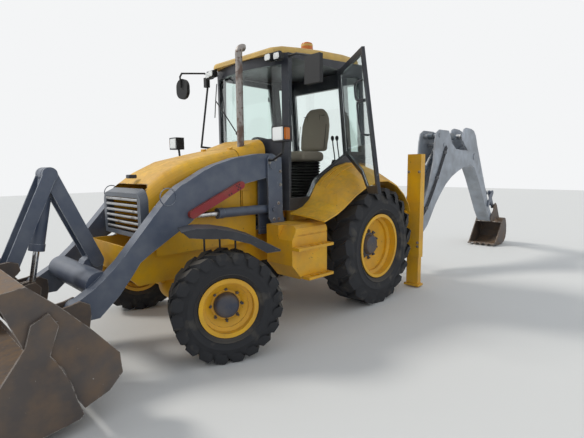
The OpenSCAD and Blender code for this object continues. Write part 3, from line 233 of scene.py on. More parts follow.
# Rubber, plastic, cloth and glass: tyres cured in a mould, black casings and
# knobs, a woven seat cover, and clear panes held in rubber seals.
def dull(name, colour, dusty, share, rough=0.8, grain_mm=4.0, depth=0.15):
    """A matt moulded or woven material with dust in it, and a grain grain_mm across."""
    material, tree, shader = new_material(name)
    lying = add(tree, "ShaderNodeMath", {0: upward(tree), 1: share}, operation="MULTIPLY",
                use_clamp=True).outputs[0]
    blown = cloud(tree, 160, 0.72 - 0.3 * share, 0.95, 8.0)
    veil = add(tree, "ShaderNodeMath", {0: lying, 1: blown}, operation="MAXIMUM",
               use_clamp=True).outputs[0]
    tone = add(tree, "ShaderNodeMix", {0: veil, 6: linear(colour), 7: linear(dusty)},
               data_type="RGBA").outputs[2]
    tree.links.new(tone, shader.inputs["Base Color"])
    shader.inputs["Roughness"].default_value = rough
    bump = add(tree, "ShaderNodeBump", {"Strength": depth, "Distance": 0.001,
                                        "Height": cloud(tree, grain_mm, 0.2, 0.8, 4.0)})
    tree.links.new(bump.outputs[0], shader.inputs["Normal"])
    return material


# Carbon-filled rubber takes the light softly and goes brown with soil; the
# moulded plastic is a shade smoother. The seat's threads are 1 mm wide, and
# its grain 3 mm, so that it shows at all.
tyre_rubber = dull("tyre_rubber", "#2b2c2f", "#6d675c", 0.5, rough=0.85, grain_mm=12.0, depth=0.3)
black_plastic = dull("moulded_plastic", "#1d1e20", "#57534b", 0.3, rough=0.6)
seat_cloth = dull("seat_cloth", "#9a9182", "#a69c8b", 0.3, rough=0.95, grain_mm=3.0, depth=0.5)

# Float glass: clear, with the faint green that shows it is there.
tinted_glass, tree, shader = new_material("tinted_glass")
shader.inputs["Base Color"].default_value = linear("#eef8f5")
shader.inputs["Roughness"].default_value = 0.03
shader.inputs["Transmission Weight"].default_value = 1.0
shader.inputs["IOR"].default_value = 1.45

# Every part of the frame that keeps its own shape takes its finish here.
finish_of_node = {
    "loader_towers": charcoal_enamel, "engine": black_enamel, "front_axle": yellow_enamel,
    "rear_axle": yellow_enamel, "chassis": yellow_enamel, "bodywork": yellow_enamel,
    "exhaust": exhaust_steel, "cab_frame": black_enamel, "roof": roof_enamel,
    "cab_glass": tinted_glass, "seat": seat_cloth, "seat_base": black_plastic,
    "controls": black_plastic, "lamps": black_plastic, "mirrors": black_plastic,
    "rear_fenders": yellow_enamel, "tanks": yellow_enamel, "rear_frame": yellow_enamel,
    "hood": yellow_enamel, "nose": cowl_enamel, "door_left": black_enamel,
    "door_left_glass": tinted_glass, "door_right": black_enamel, "door_right_glass": tinted_glass,
    "loader_arms": charcoal_enamel, "safety_strut": red_enamel, "lift_tubes": charcoal_enamel,
    "lift_rods": rod_chrome, "bucket_lever": charcoal_enamel, "tilt_link": charcoal_enamel,
    "tilt_tube": charcoal_enamel, "tilt_rod": rod_chrome, "loader_bucket": rusty_bucket,
    "bucket_jaw": rusty_bucket, "stabiliser_left": yellow_enamel,
    "stabiliser_right": yellow_enamel, "carriage": yellow_enamel, "kingpost": charcoal_enamel,
    "boom": hoe_enamel, "boom_tube": blue_enamel, "boom_rod": rod_chrome, "dipper": hoe_enamel,
    "dipper_tube": blue_enamel, "dipper_rod": rod_chrome, "guide_lever": charcoal_enamel,
    "bucket_link": charcoal_enamel, "hoe_bucket": rusty_bucket, "hoe_tube": blue_enamel,
    "hoe_rod": rod_chrome,
}
for side in ("front_left", "front_right", "rear_left", "rear_right"):
    finish_of_node["tyre_" + side] = tyre_rubber
    finish_of_node["rim_" + side] = yellow_enamel
for side in ("left", "right"):
    finish_of_node["knuckle_" + side] = black_enamel
for name, material in finish_of_node.items():
    for slot in nodes[name].material_slots:
        slot.material = material

# Wheels: moulded rubber tyres with bars across the tread, on rims pressed
# from plate. A ring of nuts on studs holds each rim to its forged hub.
body_of = {node: body for body, members in frame["record"]["behaviour"]["bodies"].items()
           for node in members}


def at(x, y, z):
    """The frame's point for millimetres measured from the rear axle's middle on the ground."""
    return Vector((x / 1000.0 - origin_x, y / 1000.0 - origin_y, z / 1000.0))


def turned(form, profile, steps):
    """Turns a profile of (y, radius) points in millimetres about the Y axis."""
    points = [form.verts.new((0.0, y / 1000.0, r / 1000.0)) for y, r in profile]
    lines = [form.edges.new(pair) for pair in zip(points, points[1:])]
    bmesh.ops.spin(form, geom=points + lines, axis=(0.0, 1.0, 0.0), cent=(0.0, 0.0, 0.0),
                   steps=steps, angle=2.0 * math.pi, use_merge=True)


def closed_mesh(name, form, finish, place=Matrix(), sharp=32.0):
    """A mesh with its doubles merged, its faces outwards and its edges sharp above an angle."""
    bmesh.ops.remove_doubles(form, verts=form.verts, dist=1e-5)
    bmesh.ops.transform(form, matrix=place, verts=form.verts)
    bmesh.ops.recalc_face_normals(form, faces=form.faces)
    mesh = bpy.data.meshes.new(name)
    form.to_mesh(mesh)
    form.free()
    mesh.materials.append(finish)
    mesh.shade_smooth()
    mesh.set_sharp_from_angle(angle=math.radians(sharp))
    return mesh


def placed(name, mesh, body):
    """An object at the origin that rides on a body."""
    piece = bpy.data.objects.new(name, mesh)
    bpy.context.scene.collection.objects.link(piece)
    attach(piece, body)
    return piece


def repeating(name, **sizes):
    """A Geometry Nodes tree that repeats what it is given, and its input node."""
    tree = bpy.data.node_groups.new(name, "GeometryNodeTree")
    for socket, kind in {"Geometry": "Geometry", **sizes, "Finish": "Material"}.items():
        tree.interface.new_socket(socket, in_out="INPUT", socket_type="NodeSocket" + kind)
    tree.interface.new_socket("Geometry", in_out="OUTPUT", socket_type="NodeSocketGeometry")
    return tree, add(tree, "NodeGroupInput")


def made_real(tree, given, copies):
    """Ends a tree: its copies become real faces, all of the given finish."""
    whole = add(tree, "GeometryNodeRealizeInstances", {"Geometry": copies.outputs[0]})
    dressed = add(tree, "GeometryNodeSetMaterial", {"Geometry": whole.outputs[0],
                                                    "Material": given.outputs["Finish"]})
    add(tree, "NodeGroupOutput", {"Geometry": dressed.outputs[0]})


ring_of, given = repeating("ring_of_pieces", Count="Int")
spots = add(ring_of, "GeometryNodePoints", {"Count": given.outputs["Count"]})
number = add(ring_of, "GeometryNodeInputIndex")
angle = add(ring_of, "ShaderNodeMapRange", {"Value": number.outputs[0], "To Max": 2.0 * math.pi,
                                            "From Max": given.outputs["Count"]})
turn = add(ring_of, "ShaderNodeCombineXYZ", {"Y": angle.outputs[0]})
copies = add(ring_of, "GeometryNodeInstanceOnPoints", {
    "Points": spots.outputs[0], "Instance": given.outputs["Geometry"], "Rotation": turn.outputs[0]})
made_real(ring_of, given, copies)


def evaluated(piece):
    """The plain mesh that a piece's modifiers make."""
    graph = bpy.context.evaluated_depsgraph_get()
    return bpy.data.meshes.new_from_object(piece.evaluated_get(graph))


def through(name, mesh, tree, **inputs):
    """The mesh that a Geometry Nodes tree makes from a mesh and its named inputs."""
    holder = bpy.data.objects.new(name, mesh)
    bpy.context.scene.collection.objects.link(holder)
    modifier = holder.modifiers.new(name, "NODES")
    modifier.node_group = tree
    for item in tree.interface.items_tree:
        if item.in_out == "INPUT" and item.name in inputs:
            modifier[item.identifier] = inputs[item.name]
    made = evaluated(holder)
    bpy.data.objects.remove(holder)
    made.name = name
    return made


def tyre_bar(form, half, top, foot, sweep_mm, wide_mm, side, start):
    """One bar of the tread, from the middle out to the shoulder, on the +Y or -Y side."""
    # How deep a bar is rooted in the tread, and its foot's and crest's half widths.
    rooted, flank, crest, slant = 14.0, 0.62, 0.40, 0.22
    # Each row: share of the half width, height, share of the sweep, share of the bar's width.
    path = [(-0.05, 1.0, 0.0, 0.86), (0.25, 0.998, 0.24, 0.95), (0.55, 0.99, 0.55, 1.0),
            (0.80, 0.972, 0.82, 1.06), (0.93, 0.945, 0.97, 1.1), (1.01, 0.90, 1.04, 1.05),
            (1.02, 0.84, 1.07, 0.8)]
    rings = []
    for share, reach, along, broad in path:
        on_shoulder = share > 1.0
        out = top * reach if on_shoulder else foot + (top - foot) * reach
        inner = out - rooted if on_shoulder else foot - rooted
        width = wide_mm * broad
        ring = []
        for edge, radius in ((-flank, inner), (-crest, out), (crest, out), (flank, inner)):
            angle = start + (sweep_mm * along + edge * width) / top
            y = side * (share * half - edge * width * slant)
            ring.append(form.verts.new((radius * math.sin(angle) / 1000.0, y / 1000.0,
                                        radius * math.cos(angle) / 1000.0)))
        rings.append(ring)
    for one, two in zip(rings, rings[1:]):
        for k in range(3):
            form.faces.new((one[k], one[k + 1], two[k + 1], two[k]))
        form.faces.new((one[3], one[0], two[0], two[3]))
    form.faces.new(rings[0])
    form.faces.new(rings[-1])


def mirrored(side):
    """A wheel is drawn with its outer face to -Y, and turned over for the right side."""
    return Matrix.Scale(-1.0 if side > 0 else 1.0, 4, (0.0, 1.0, 0.0))


# In millimetres and degrees. A wheel stands along and across from the rear
# axle's middle, turned by its steering, and its middle centre_out from there.
tyre_sizes = {
    "front": dict(along=-2190.0, across=840.0, steered=-23.5, centre_out=140.0, radius=485.0,
                  width=316.0, rim=261.0, bar=20.0, count=20, hub=114.0, nuts=143.0, nut_count=8,
                  nut=12.0, seat=7.6),
    "rear": dict(along=0.0, across=912.0, steered=0.0, centre_out=0.0, radius=715.0, width=430.0,
                 rim=393.0, bar=30.0, count=19, hub=150.0, nuts=170.0, nut_count=10, nut=18.0,
                 seat=8.9),
}
# Each hub's profile: millimetres out from its seat, and share of its radius.
hub_shapes = {
    "front": [(0.0, 1.0), (20.0, 1.0), (26.0, 0.97), (48.0, 0.93), (62.0, 0.86), (70.0, 0.74),
              (74.0, 0.5), (75.0, 0.15)],
    "rear": [(0.0, 1.0), (12.0, 1.0), (16.0, 0.97), (16.0, 0.88), (46.0, 0.80), (62.0, 0.72),
             (66.0, 0.64), (66.0, 0.10), (72.0, 0.08)],
}
# Hub paint is thin over cast iron, matt with brake dust.
hub_iron = painted("hub_enamel", "#343b4c", "#414857", "#8a8a88", gloss=0.5, dust=0.4)
# A tyre's outline: share of its half width, and share of its height above the rim.
side_wall = [(0.72, 0.004), (0.80, 0.03), (0.90, 0.10), (0.955, 0.17), (0.985, 0.18),
             (0.99, 0.20), (0.965, 0.22), (0.985, 0.32), (1.0, 0.44), (1.015, 0.46),
             (1.015, 0.48), (0.995, 0.50), (0.985, 0.62), (0.955, 0.74), (0.91, 0.84),
             (0.85, 0.91), (0.76, 0.96), (0.5, 0.985), (0.2, 1.0)]
for axle, size in tyre_sizes.items():
    half, top = size["width"] / 2.0, size["radius"]
    foot, rim = top - size["bar"], size["rim"]
    outline = [(y * half, rim + r * (foot - rim)) for y, r in side_wall]
    outline += [(0.0, foot)] + [(-y, r) for y, r in reversed(outline)]
    outline.append((0.0, rim + 2.0))
    bars = bmesh.new()
    pitch = 2.0 * math.pi * top / size["count"]
    sweep, wide = 0.62 * half, 0.62 * pitch
    for side in (-1, 1):
        tyre_bar(bars, half, top, foot, sweep, wide, side,
                 0.0 if side < 0 else math.pi / size["count"])
    bmesh.ops.bevel(bars, geom=[e for e in bars.edges if e.calc_face_angle(0.0) > 0.6],
                    offset=0.004, segments=1, affect="EDGES")
    tread = through(axle + "_tread", closed_mesh("bar", bars, tyre_rubber), ring_of,
                    Count=size["count"], Finish=tyre_rubber)
    # A hexagon nut on its washer, with the stud's end through it.
    nut, flat, stud = bmesh.new(), size["nut"], 8.0
    turned(nut, [(10.0, 0.0), (10.0, flat), (0.0, flat), (0.0, flat + 7.0), (-4.0, flat + 7.0),
                 (-4.0, flat), (-20.0, flat), (-23.0, flat - 4.0), (-23.0, stud), (-34.0, stud),
                 (-36.0, 6.0), (-36.0, 0.0)], 6)
    face = -(size["centre_out"] + size["seat"])
    bmesh.ops.translate(nut, verts=nut.verts, vec=(0.0, face / 1000.0, size["nuts"] / 1000.0))
    nuts = through(axle + "_nuts", closed_mesh("nut", nut, hub_iron), ring_of,
                   Count=size["nut_count"], Finish=hub_iron)
    for side, word in ((-1, "left"), (1, "right")):
        corner = axle + "_" + word
        hub_place = (Matrix.Translation(at(size["along"], side * size["across"], top))
                     @ Matrix.Rotation(math.radians(size["steered"]), 4, "Z") @ mirrored(side))
        place = hub_place @ Matrix.Translation((0.0, -size["centre_out"] / 1000.0, 0.0))
        form = bmesh.new()
        turned(form, outline + outline[:1], 96)
        form.from_mesh(tread)
        tyre = placed("tyre_" + corner, closed_mesh("tyre", form, tyre_rubber, place, 40.0),
                      body_of["tyre_" + corner])
        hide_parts("tyre_" + corner)
        form = bmesh.new()
        form.from_mesh(nuts)
        shape = hub_shapes[axle]
        turned(form, [(face, 0.0)] + [(face - y, size["hub"] * r) for y, r in shape]
               + [(face - shape[-1][0], 0.0)], 48)
        hub = placed("hub_" + corner, closed_mesh("hub", form, hub_iron, hub_place, 30.0),
                     body_of["rim_" + corner])


# Driver's seat: cloth sewn over moulded foam, on a steel pan whose spring
# frame is hidden by a black rubber bellows with a dozen folds.
def tube(form, points, radius, sides=10, smooth=5):
    """A round bar or hose along a smooth path through points in millimetres."""
    points = [at(*p) for p in points]
    path = []
    for k in range(len(points) - 1):
        before, one, two = points[max(k - 1, 0)], points[k], points[k + 1]
        after = points[min(k + 2, len(points) - 1)]
        for step in range(smooth):
            t = step / smooth
            path.append(0.5 * (2.0 * one + (two - before) * t
                               + (2.0 * before - 5.0 * one + 4.0 * two - after) * t * t
                               + (3.0 * one - before - 3.0 * two + after) * t ** 3))
    path.append(points[-1])
    across = (path[1] - path[0]).orthogonal().normalized()
    rings = []
    for k, point in enumerate(path):
        along = (path[min(k + 1, len(path) - 1)] - path[max(k - 1, 0)]).normalized()
        across = (across - along * across.dot(along)).normalized()
        other = along.cross(across)
        turns = (2.0 * math.pi * i / sides for i in range(sides))
        rings.append([form.verts.new(point + (across * math.cos(a) + other * math.sin(a))
                                     * radius / 1000.0) for a in turns])
    for one, two in zip(rings, rings[1:]):
        for i in range(sides):
            form.faces.new((one[i], one[(i + 1) % sides], two[(i + 1) % sides], two[i]))
    form.faces.new(rings[0][::-1])
    form.faces.new(rings[-1])


def lofted(form, sections, place=Matrix(), steps=32):
    """A skin over superellipse sections: (centre x, y, z, half depth, half width, squareness)."""
    rings = []
    for x, y, z, deep, wide, square in sections:
        ring = []
        for i in range(steps):
            a = 2.0 * math.pi * i / steps
            c, s = math.cos(a), math.sin(a)
            ring.append(form.verts.new(place @ at(
                x + deep * math.copysign(abs(c) ** square, c),
                y + wide * math.copysign(abs(s) ** square, s), z)))
        rings.append(ring)
    for one, two in zip(rings, rings[1:]):
        for i in range(steps):
            form.faces.new((one[i], one[(i + 1) % steps], two[(i + 1) % steps], two[i]))
    form.faces.new(rings[0][::-1])
    form.faces.new(rings[-1])


def stuffed(name, form, finish, press=3.0, most_mm=9.0, steps=12):
    """Foam under sewn cloth: a remeshed shell that Cloth swells, by most_mm at most."""
    piece = placed(name, closed_mesh(name, form, finish, sharp=180.0), body_of["seat"])
    remesh = piece.modifiers.new("remesh", "REMESH")
    remesh.mode, remesh.voxel_size = "VOXEL", 0.014
    shell = evaluated(piece)
    piece.modifiers.clear()
    piece.data = shell
    start = [v.co.copy() for v in shell.vertices]
    cloth = piece.modifiers.new("cloth", "CLOTH")
    cloth.settings.use_pressure = True
    cloth.settings.uniform_pressure_force = press
    cloth.settings.effector_weights.gravity = 0.0
    for number in range(1, steps + 1):
        bpy.context.scene.frame_set(number)
    swollen = evaluated(piece)
    piece.modifiers.clear()
    bpy.context.scene.frame_set(1)
    for vertex, before in zip(swollen.vertices, start):
        moved = vertex.co - before
        if moved.length > most_mm / 1000.0:
            vertex.co = before + moved.normalized() * most_mm / 1000.0
    piece.data = swollen
    smooth = piece.modifiers.new("smooth", "SUBSURF")
    smooth.levels = smooth.render_levels = 1
    done = evaluated(piece)
    piece.modifiers.clear()
    piece.data = done
    done.shade_smooth()
    return piece


def from_axle(point):
    """The millimetres that at() turns into a point of the frame."""
    return tuple(1000.0 * v for v in (point - at(0.0, 0.0, 0.0)))


recline, pivot = 8.0, at(-60.0, 0.0, 1895.0)
lean = (Matrix.Translation(pivot) @ Matrix.Rotation(math.radians(recline), 4, "Y")
        @ Matrix.Translation(-pivot))
form = bmesh.new()
lofted(form, [(-235, 0, 1768, 215, 225, 0.35), (-235, 0, 1790, 232, 240, 0.3),
              (-235, 0, 1850, 234, 240, 0.3), (-235, 0, 1880, 222, 228, 0.35),
              (-235, 0, 1886, 190, 200, 0.4)])
cushion = stuffed("seat_cushion", form, seat_cloth)
form = bmesh.new()
lofted(form, [(0, 0, 1905, 45, 190, 0.4), (0, 0, 1930, 54, 222, 0.35),
              (0, 0, 2080, 56, 234, 0.35), (0, 0, 2260, 54, 236, 0.35),
              (0, 0, 2370, 50, 215, 0.45), (0, 0, 2440, 46, 180, 0.55),
              (0, 0, 2488, 40, 130, 0.65), (0, 0, 2502, 24, 90, 0.7)], lean)
backrest = stuffed("seat_back", form, seat_cloth)
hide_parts("seat")
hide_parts("seat")

# Piping is a cord sewn into each seam of the back, a darker cloth that rubs
# smooth: one run along either side, two down the middle, one across the top.
piping = dull("seat_piping", "#4a463f", "#6c6558", 0.2, rough=0.9)
piping_radius = 4.0
form = bmesh.new()
for wide, foot, head in ((236, 1930, 2260), (110, 1950, 2400)):
    for s in (-1, 1):
        tube(form, [from_axle(lean @ at(-57.0, s * wide, z))
                    for z in (foot, (foot + head) / 2, head)], piping_radius, 6, 3)
tube(form, [from_axle(lean @ at(-52.0, y, 2385.0)) for y in (-190, -100, 0, 100, 190)],
     piping_radius, 6, 3)
seams = placed("seat_seams", closed_mesh("seat_seams", form, piping), body_of["seat"])

# Bellows: soft black rubber, moulded in folds, clipped to the seat's pan and
# to the floor. Dust settles on the folds and leaves their undersides black.
bellows_rubber = dull("bellows_rubber", "#17181a", "#4d4a44", 0.35, rough=0.75)
folds, fold_deep = 13, 20.0
base_low, base_high = (1000.0 * corner[2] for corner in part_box("seat_base"))
sections = []
for k in range(2 * folds + 1):
    z = base_low + (base_high - base_low) * k / (2 * folds)
    inset = 0.0 if k % 2 else fold_deep
    sections.append((-220, 0, z, 178 - inset, 198 - inset, 0.28))
form = bmesh.new()
lofted(form, sections)
bellows = placed("seat_bellows", closed_mesh("seat_bellows", form, bellows_rubber, sharp=20.0),
                 body_of["seat_base"])
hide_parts("seat_base")

# Digger levers: moulded knobs, pressed on bent steel rods that rise from two
# plastic consoles behind the seat.
console_x, console_out = 205, 250
form = bmesh.new()
for side in (-1, 1):
    y = side * console_out
    lofted(form, [(console_x, y, base_low, 48, 75, 0.3), (console_x, y, 1740, 46, 72, 0.3),
                  (console_x, y, 1785, 38, 60, 0.4)])
    for x, y in ((225, side * 278), (195, side * 225)):
        top_y = y + 8 * side
        tube(form, [(x, y, 1770), (x - 12, y, 1850), (x - 45, y + 6 * side, 1960),
                    (x - 62, top_y, 2050)], 8.0, 8, 4)
        lofted(form, [(x - 62, top_y, 2040, 10, 10, 1), (x - 63, top_y, 2056, 20, 20, 1),
                      (x - 65, top_y, 2080, 24, 24, 1), (x - 66, top_y, 2100, 17, 17, 1),
                      (x - 66, top_y, 2108, 6, 6, 1)], steps=12)
levers = placed("levers", closed_mesh("levers", form, black_plastic), body_of["controls"])

# Radiator grille: six bright slats, rolled from thin steel strip, whose ends
# are held in the dark cowl that closes the hood in front.
row_of, given = repeating("row_of_pieces", Count="Int", Step="Vector")
number = add(row_of, "GeometryNodeInputIndex")
step = add(row_of, "ShaderNodeVectorMath", {"Vector": given.outputs["Step"],
                                            "Scale": number.outputs[0]}, operation="SCALE")
spots = add(row_of, "GeometryNodePoints", {"Count": given.outputs["Count"],
                                           "Position": step.outputs[0]})
copies = add(row_of, "GeometryNodeInstanceOnPoints", {"Points": spots.outputs[0],
                                                      "Instance": given.outputs["Geometry"]})
made_real(row_of, given, copies)


def prism(form, outline, start, end):
    """A bar of one (x, z) outline in millimetres, from y = start to y = end."""
    one, two = [[form.verts.new(at(x, y, z)) for x, z in outline] for y in (start, end)]
    for i in range(len(outline)):
        form.faces.new((one[i - 1], one[i], two[i], two[i - 1]))
    form.faces.new(one)
    form.faces.new(two[::-1])


slat_steel = scoured("pressed_slat_steel", "#c4c6c8", "#6d665c", 0.1, rough=0.3)
slat_count, slat_pitch, slat_half = 6, 0.054, 338
form = bmesh.new()
prism(form, [(-2709, 1118), (-2714, 1119), (-2718, 1126), (-2718, 1136), (-2714, 1143),
             (-2709, 1144)], -slat_half, slat_half)
slats = placed("grille_slats", through("grille_slats", closed_mesh("slat", form, slat_steel),
                                       row_of, Count=slat_count, Step=(0.0, 0.0, slat_pitch),
                                       Finish=slat_steel), body_of["nose"])

# Lamps: clear ribbed lenses in front of bright bowls, amber lenses moulded on
# their outer sides, and an amber beacon on the roof. The glass is pressed, and
# takes its silver from the bowl; the amber is acrylic, lit through a little.
lens_glass, tree, shader = new_material("ribbed_lens_glass")
shader.inputs["Base Color"].default_value = linear("#f3f5f2")
shader.inputs["Roughness"].default_value = 0.08
shader.inputs["Metallic"].default_value = 0.35
rib = add(tree, "ShaderNodeTexWave", {
    "Vector": add(tree, "ShaderNodeTexCoord").outputs["Object"], "Scale": 24.0},
    bands_direction="Y")
ribbed = add(tree, "ShaderNodeBump", {"Strength": 0.5, "Distance": 0.003,
                                      "Height": rib.outputs["Fac"]})
tree.links.new(ribbed.outputs[0], shader.inputs["Normal"])
amber_lens, tree, shader = new_material("amber_lens")
shader.inputs["Base Color"].default_value = linear("#e8801a")
shader.inputs["Roughness"].default_value = 0.15
shader.inputs["Transmission Weight"].default_value = 0.35


def slab(form, low, high, round_mm=6.0):
    """A moulded block between two corners in millimetres, its edges rounded."""
    made = bmesh.ops.create_cube(form, size=1.0)["verts"]
    for vertex in made:
        vertex.co = at(*[low[k] if vertex.co[k] < 0 else high[k] for k in range(3)])
    edges_of = {e for v in made for e in v.link_edges}
    bmesh.ops.bevel(form, geom=list(edges_of), offset=round_mm / 1000.0, segments=2, affect="EDGES")


clear, amber = bmesh.new(), bmesh.new()
for side in (-1, 1):
    y = side * 970.0
    slab(clear, (-1600, y - 72, 1938), (-1580, y + 72, 2062), 8.0)
    edge = y + side * 85
    slab(amber, (-1590, min(edge - 6, edge + 14 * side), 1945),
         (-1520, max(edge + 6, edge + 14 * side), 2055), 6.0)
lens = placed("lamp_lenses", closed_mesh("lamp_lenses", clear, lens_glass), body_of["lamps"])
markers = placed("lamp_markers", closed_mesh("lamp_markers", amber, amber_lens), body_of["lamps"])
form, rings = bmesh.new(), 9
profile = [(0, 0), (0, 77), (4, 78)]
for k in range(rings):
    profile += [(8 + 9 * k, 78 - 1.0 * k), (12 + 9 * k, 76 - 1.0 * k)]
profile += [(94, 64), (104, 44), (108, 0)]
turned(form, profile, 40)
upright = Matrix.Translation(at(-480, -330, 3076)) @ Matrix.Rotation(math.radians(90.0), 4, "X")
beacon = placed("beacon_lens", closed_mesh("beacon_lens", form, amber_lens, upright),
                body_of["roof"])

# Work lamps: moulded black housings, hung in pairs on a bracket below each
# front corner of the roof, with the same pressed glass in front.
lamp_gap, lamp_back = 105, 28
form, bowls = bmesh.new(), bmesh.new()
for side in (-1, 1):
    for k in (0, 1):
        x, y = -1262 + lamp_back * k, side * (520 + lamp_gap * k)
        slab(form, (x - 40, y - 48, 2795), (x + 40, y + 48, 2872), 12.0)
        slab(bowls, (x - 46, y - 40, 2803), (x - 36, y + 40, 2864), 8.0)
    slab(form, (-1262, side * 572 - 90, 2866), (-1222, side * 572 + 90, 2884), 5.0)
housings = placed("work_lamps", closed_mesh("work_lamps", form, black_plastic),
                  body_of["cab_frame"])
bowl = placed("work_lamp_lenses", closed_mesh("work_lamp_lenses", bowls, lens_glass),
              body_of["cab_frame"])

# Mirror glass: silvered on its back, so a full mirror under a clear face, in
# the left mirror's moulded shell.
silvered, tree, shader = new_material("silvered_glass")
shader.inputs["Base Color"].default_value = linear("#dfe4e6")
shader.inputs["Metallic"].default_value = 1.0
shader.inputs["Roughness"].default_value = 0.03
form = bmesh.new()
slab(form, (-1136, -1122, 2526), (-1128, -946, 2774), 3.0)
glass = placed("left_mirror_glass", closed_mesh("left_mirror_glass", form, silvered),
               body_of["mirrors"])

# Wiper: a pressed arm on the spindle of its motor, at the windscreen's foot,
# with a rubber blade across its end.
form = bmesh.new()
tube(form, [(-1268, 60, 2090), (-1282, 75, 2110), (-1296, 200, 2260), (-1306, 423, 2500)],
     7.0, 8, 3)
tube(form, [(-1290, 470, 2300), (-1304, 423, 2500), (-1312, 380, 2690)], 6.0, 6, 3)
slab(form, (-1275, 30, 2070), (-1235, 90, 2110), 6.0)
wiper = placed("wiper", closed_mesh("wiper", form, black_plastic), body_of["cab_frame"])

# Grab bars: steel tube, bent and painted black, bolted along the door's free
# edge. The door stands open on a hinge that leans back.
hinge, hinge_lean, swung = at(-75.0, -658.0, 1850.0), math.radians(7.35), math.radians(55.0)
up = Vector((-math.sin(hinge_lean), 0.0, math.cos(hinge_lean)))
out = Matrix.Rotation(swung, 3, up) @ Vector((-up[2], 0.0, up[0]))
inward = up.cross(out) if up.cross(out).y > 0 else out.cross(up)


def on_door(reach, height, off):
    """A spot out from the left door's hinge, up it and off its inner face, in millimetres."""
    return from_axle(hinge + (out * reach + up * height + inward * off) / 1000.0)


form = bmesh.new()
for bar in (((735, 800, 16), (690, 800, 40), (590, 790, 48), (540, 740, 48), (548, 640, 48),
             (600, 610, 48), (700, 605, 40), (765, 600, 16)),
            ((768, 585, 16), (700, 585, 45), (590, 570, 48), (600, 450, 48), (620, 330, 48),
             (670, 260, 48), (760, 235, 40), (818, 230, 16))):
    tube(form, [on_door(*spot) for spot in bar], 11.0, 10, 5)
bars = placed("door_bars", closed_mesh("door_bars", form, black_enamel), body_of["door_left"])

# Bolts: forged hexagon heads on washers, plated and long since stained, where
# the loader's towers and the stabilisers' tubes are screwed to the machine.
bolt = bmesh.new()
turned(bolt, [(0, 0), (0, 21), (3, 21), (3, 15), (13, 15), (16, 12), (16, 0)], 6)
bmesh.ops.rotate(bolt, verts=bolt.verts, cent=(0, 0, 0),
                 matrix=Matrix.Rotation(math.radians(90.0), 3, "X"))
bolt_steel = scoured("plated_bolt_steel", "#8f8d88", "#6b4a34", 0.5)
bolt_holder = bpy.data.objects.new("bolt_pattern", closed_mesh("bolt_pattern", bolt, bolt_steel))
bolts_on, given = repeating("bolts_on_points", Bolt="Object")
pattern = add(bolts_on, "GeometryNodeObjectInfo", {"Object": given.outputs["Bolt"]})
axis = add(bolts_on, "GeometryNodeInputNamedAttribute", {"Name": "axis"},
           data_type="FLOAT_VECTOR")
aimed = add(bolts_on, "FunctionNodeAlignRotationToVector", {"Vector": axis.outputs[0]}, axis="Z")
spots = add(bolts_on, "GeometryNodeMeshToPoints", {"Mesh": given.outputs["Geometry"]})
copies = add(bolts_on, "GeometryNodeInstanceOnPoints", {
    "Points": spots.outputs[0], "Instance": pattern.outputs["Geometry"],
    "Rotation": aimed.outputs[0]})
made_real(bolts_on, given, copies)


def bolted(name, spots, body):
    """Bolt heads at (x, y, z, axis) spots in millimetres, on one body."""
    bed = bpy.data.meshes.new(name + "_spots")
    bed.from_pydata([at(*spot[:3]) for spot in spots], [], [])
    axes = bed.attributes.new("axis", "FLOAT_VECTOR", "POINT")
    for number, spot in enumerate(spots):
        axes.data[number].vector = spot[3]
    heads = through(name, bed, bolts_on, Bolt=bolt_holder, Finish=bolt_steel)
    placed(name, heads, body)


tower_face = 619.0
tower_spots = ((-1385, 1735), (-1300, 1770), (-1230, 1640), (-1230, 1500), (-1262, 1300),
               (-1262, 1130), (-1330, 1130))
bolted("tower_bolts", [(x, side * tower_face, z, (0.0, side, 0.0))
                       for side in (-1, 1) for x, z in tower_spots], body_of["loader_towers"])
bolted("stabiliser_bolts", [(883.0, y, z, (-1.0, 0.0, 0.0))
                            for y in (-1128, -972, 972, 1128) for z in (640, 585, 1610)],
       body_of["rear_frame"])

# Digger pipes: drawn steel tube, painted black, held to the boom's left face
# by clamped straps on its way to the dipper's cylinder.
boom_run = [(1700, 800), (1947, 1000), (2130, 1230), (2300, 1480), (2440, 1700), (2560, 1900),
            (2620, 2000)]
form = bmesh.new()
for k in range(3):
    tube(form, [(x - 24 * k, -713, z + 18 * k) for x, z in boom_run], 9.0, 8, 4)
for x, z in boom_run[1::2]:
    slab(form, (x - 70, -728, z - 6), (x + 22, -700, z + 42), 4.0)
pipes = placed("boom_pipes", closed_mesh("boom_pipes", form, black_enamel, sharp=40.0),
               body_of["boom"])

# Fender ribs: two beads pressed into each rear fender's forward crown. Each
# follows the crown, whose height falls from beside the cab to the outer edge.
crown = [(-680, 1478, 1300), (-560, 1572, 1370), (-330, 1690, 1470), (-100, 1740, 1520),
         (60, 1736, 1520)]
form = bmesh.new()
for side in (-1, 1):
    for y, fall in ((700, 0.06), (790, 0.185)):
        tube(form, [(x, side * y, inner + (outer - inner) * fall + 1)
                    for x, inner, outer in crown], 9.0, 8, 4)
ribs = placed("fender_ribs", closed_mesh("fender_ribs", form, yellow_enamel, sharp=40.0),
              body_of["rear_fenders"])

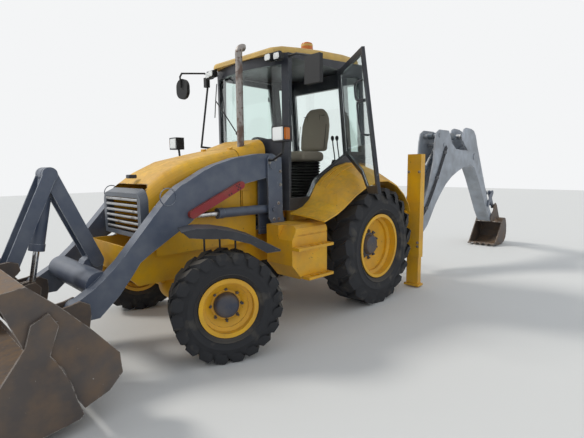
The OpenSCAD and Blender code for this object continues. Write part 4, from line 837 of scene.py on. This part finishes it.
# Strut pin hole shade: each hole drilled through the red safety strut's folded
# plate, for the pins that lock it over the cylinder's rod, is drawn as a black
# disc on the plate's face, painted shade for the dark inside of the hole.
strut_face = 1000.0 * (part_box("safety_strut")[0][1] + origin_y)
tip_x, tip_z, run, rise = -1770, 1512, 0.922, 0.387
form = bmesh.new()
for back, off in ((28, 18), (28, -18), (62, 20), (62, -20), (45, 0), (150, -22), (182, -22)):
    x, z = tip_x - run * back - rise * off, tip_z - rise * back + run * off
    tube(form, [(x, strut_face + 6, z), (x, strut_face - 1, z)], 9.0, 12, 1)
hole_shade = placed("strut_pin_holes", closed_mesh("strut_pin_holes", form, black_plastic),
               body_of["safety_strut"])

# Hood latch: a pressed steel catch, painted black and screwed to the hood's
# crown above the grille.
form = bmesh.new()
slab(form, (-2640, -34, 1590), (-2560, 34, 1626), 5.0)
latch = placed("hood_latch", closed_mesh("hood_latch", form, black_enamel), body_of["hood"])

# Arm weld beads: the run of weld where the cross tube enters each loader arm,
# under the arms' own charcoal enamel.
tube_x, tube_z, weld_radius = -2554, 1434, 76
turns = [2.0 * math.pi * k / 24 for k in range(25)]
form = bmesh.new()
for side in (-1, 1):
    tube(form, [(tube_x + weld_radius * math.cos(a), side * 596, tube_z + weld_radius * math.sin(a))
                for a in turns], 5.0, 6, 1)
beads = placed("arm_weld_beads", closed_mesh("arm_weld_beads", form, charcoal_enamel, sharp=60.0),
               body_of["loader_arms"])

# Floor and light: a pale, dull floor that the machine stands on, an even sky
# that shows white to the camera, and a broad soft lamp high on the far side.
floor_material, tree, shader = new_material("pale_floor")
shader.inputs["Base Color"].default_value = linear("#d9d9d6")
shader.inputs["Roughness"].default_value = 0.9
bpy.ops.mesh.primitive_plane_add(size=60.0)
floor = bpy.context.active_object
floor.name = "floor"
floor.data.materials.append(floor_material)

world = bpy.data.worlds.new("sky")
bpy.context.scene.world = world
world.use_nodes = True
sky = world.node_tree
sky.nodes.clear()
lights = add(sky, "ShaderNodeBackground", {"Color": linear("#eef3fa"), "Strength": 0.75})
shown = add(sky, "ShaderNodeBackground", {"Color": linear("#f4f5f6"), "Strength": 1.0})
path = add(sky, "ShaderNodeLightPath")
seen = add(sky, "ShaderNodeMath", {0: path.outputs["Is Camera Ray"],
                                   1: path.outputs["Is Glossy Ray"]},
           operation="MAXIMUM").outputs[0]
seen = add(sky, "ShaderNodeMath", {0: seen, 1: path.outputs["Is Transmission Ray"]},
           operation="MAXIMUM").outputs[0]
mix = add(sky, "ShaderNodeMixShader", {0: seen, 1: lights.outputs[0], 2: shown.outputs[0]})
add(sky, "ShaderNodeOutputWorld", {"Surface": mix.outputs[0]})
sun_data = bpy.data.lights.new("sun", "SUN")
sun_data.energy = 1.6
sun_data.angle = math.radians(12.0)
sun_data.color = (1.0, 0.97, 0.92)
sun = bpy.data.objects.new("sun", sun_data)
bpy.context.scene.collection.objects.link(sun)
sun.rotation_euler = (math.radians(-38.0), math.radians(-32.0), 0.0)
bpy.context.scene.view_settings.view_transform = "Standard"
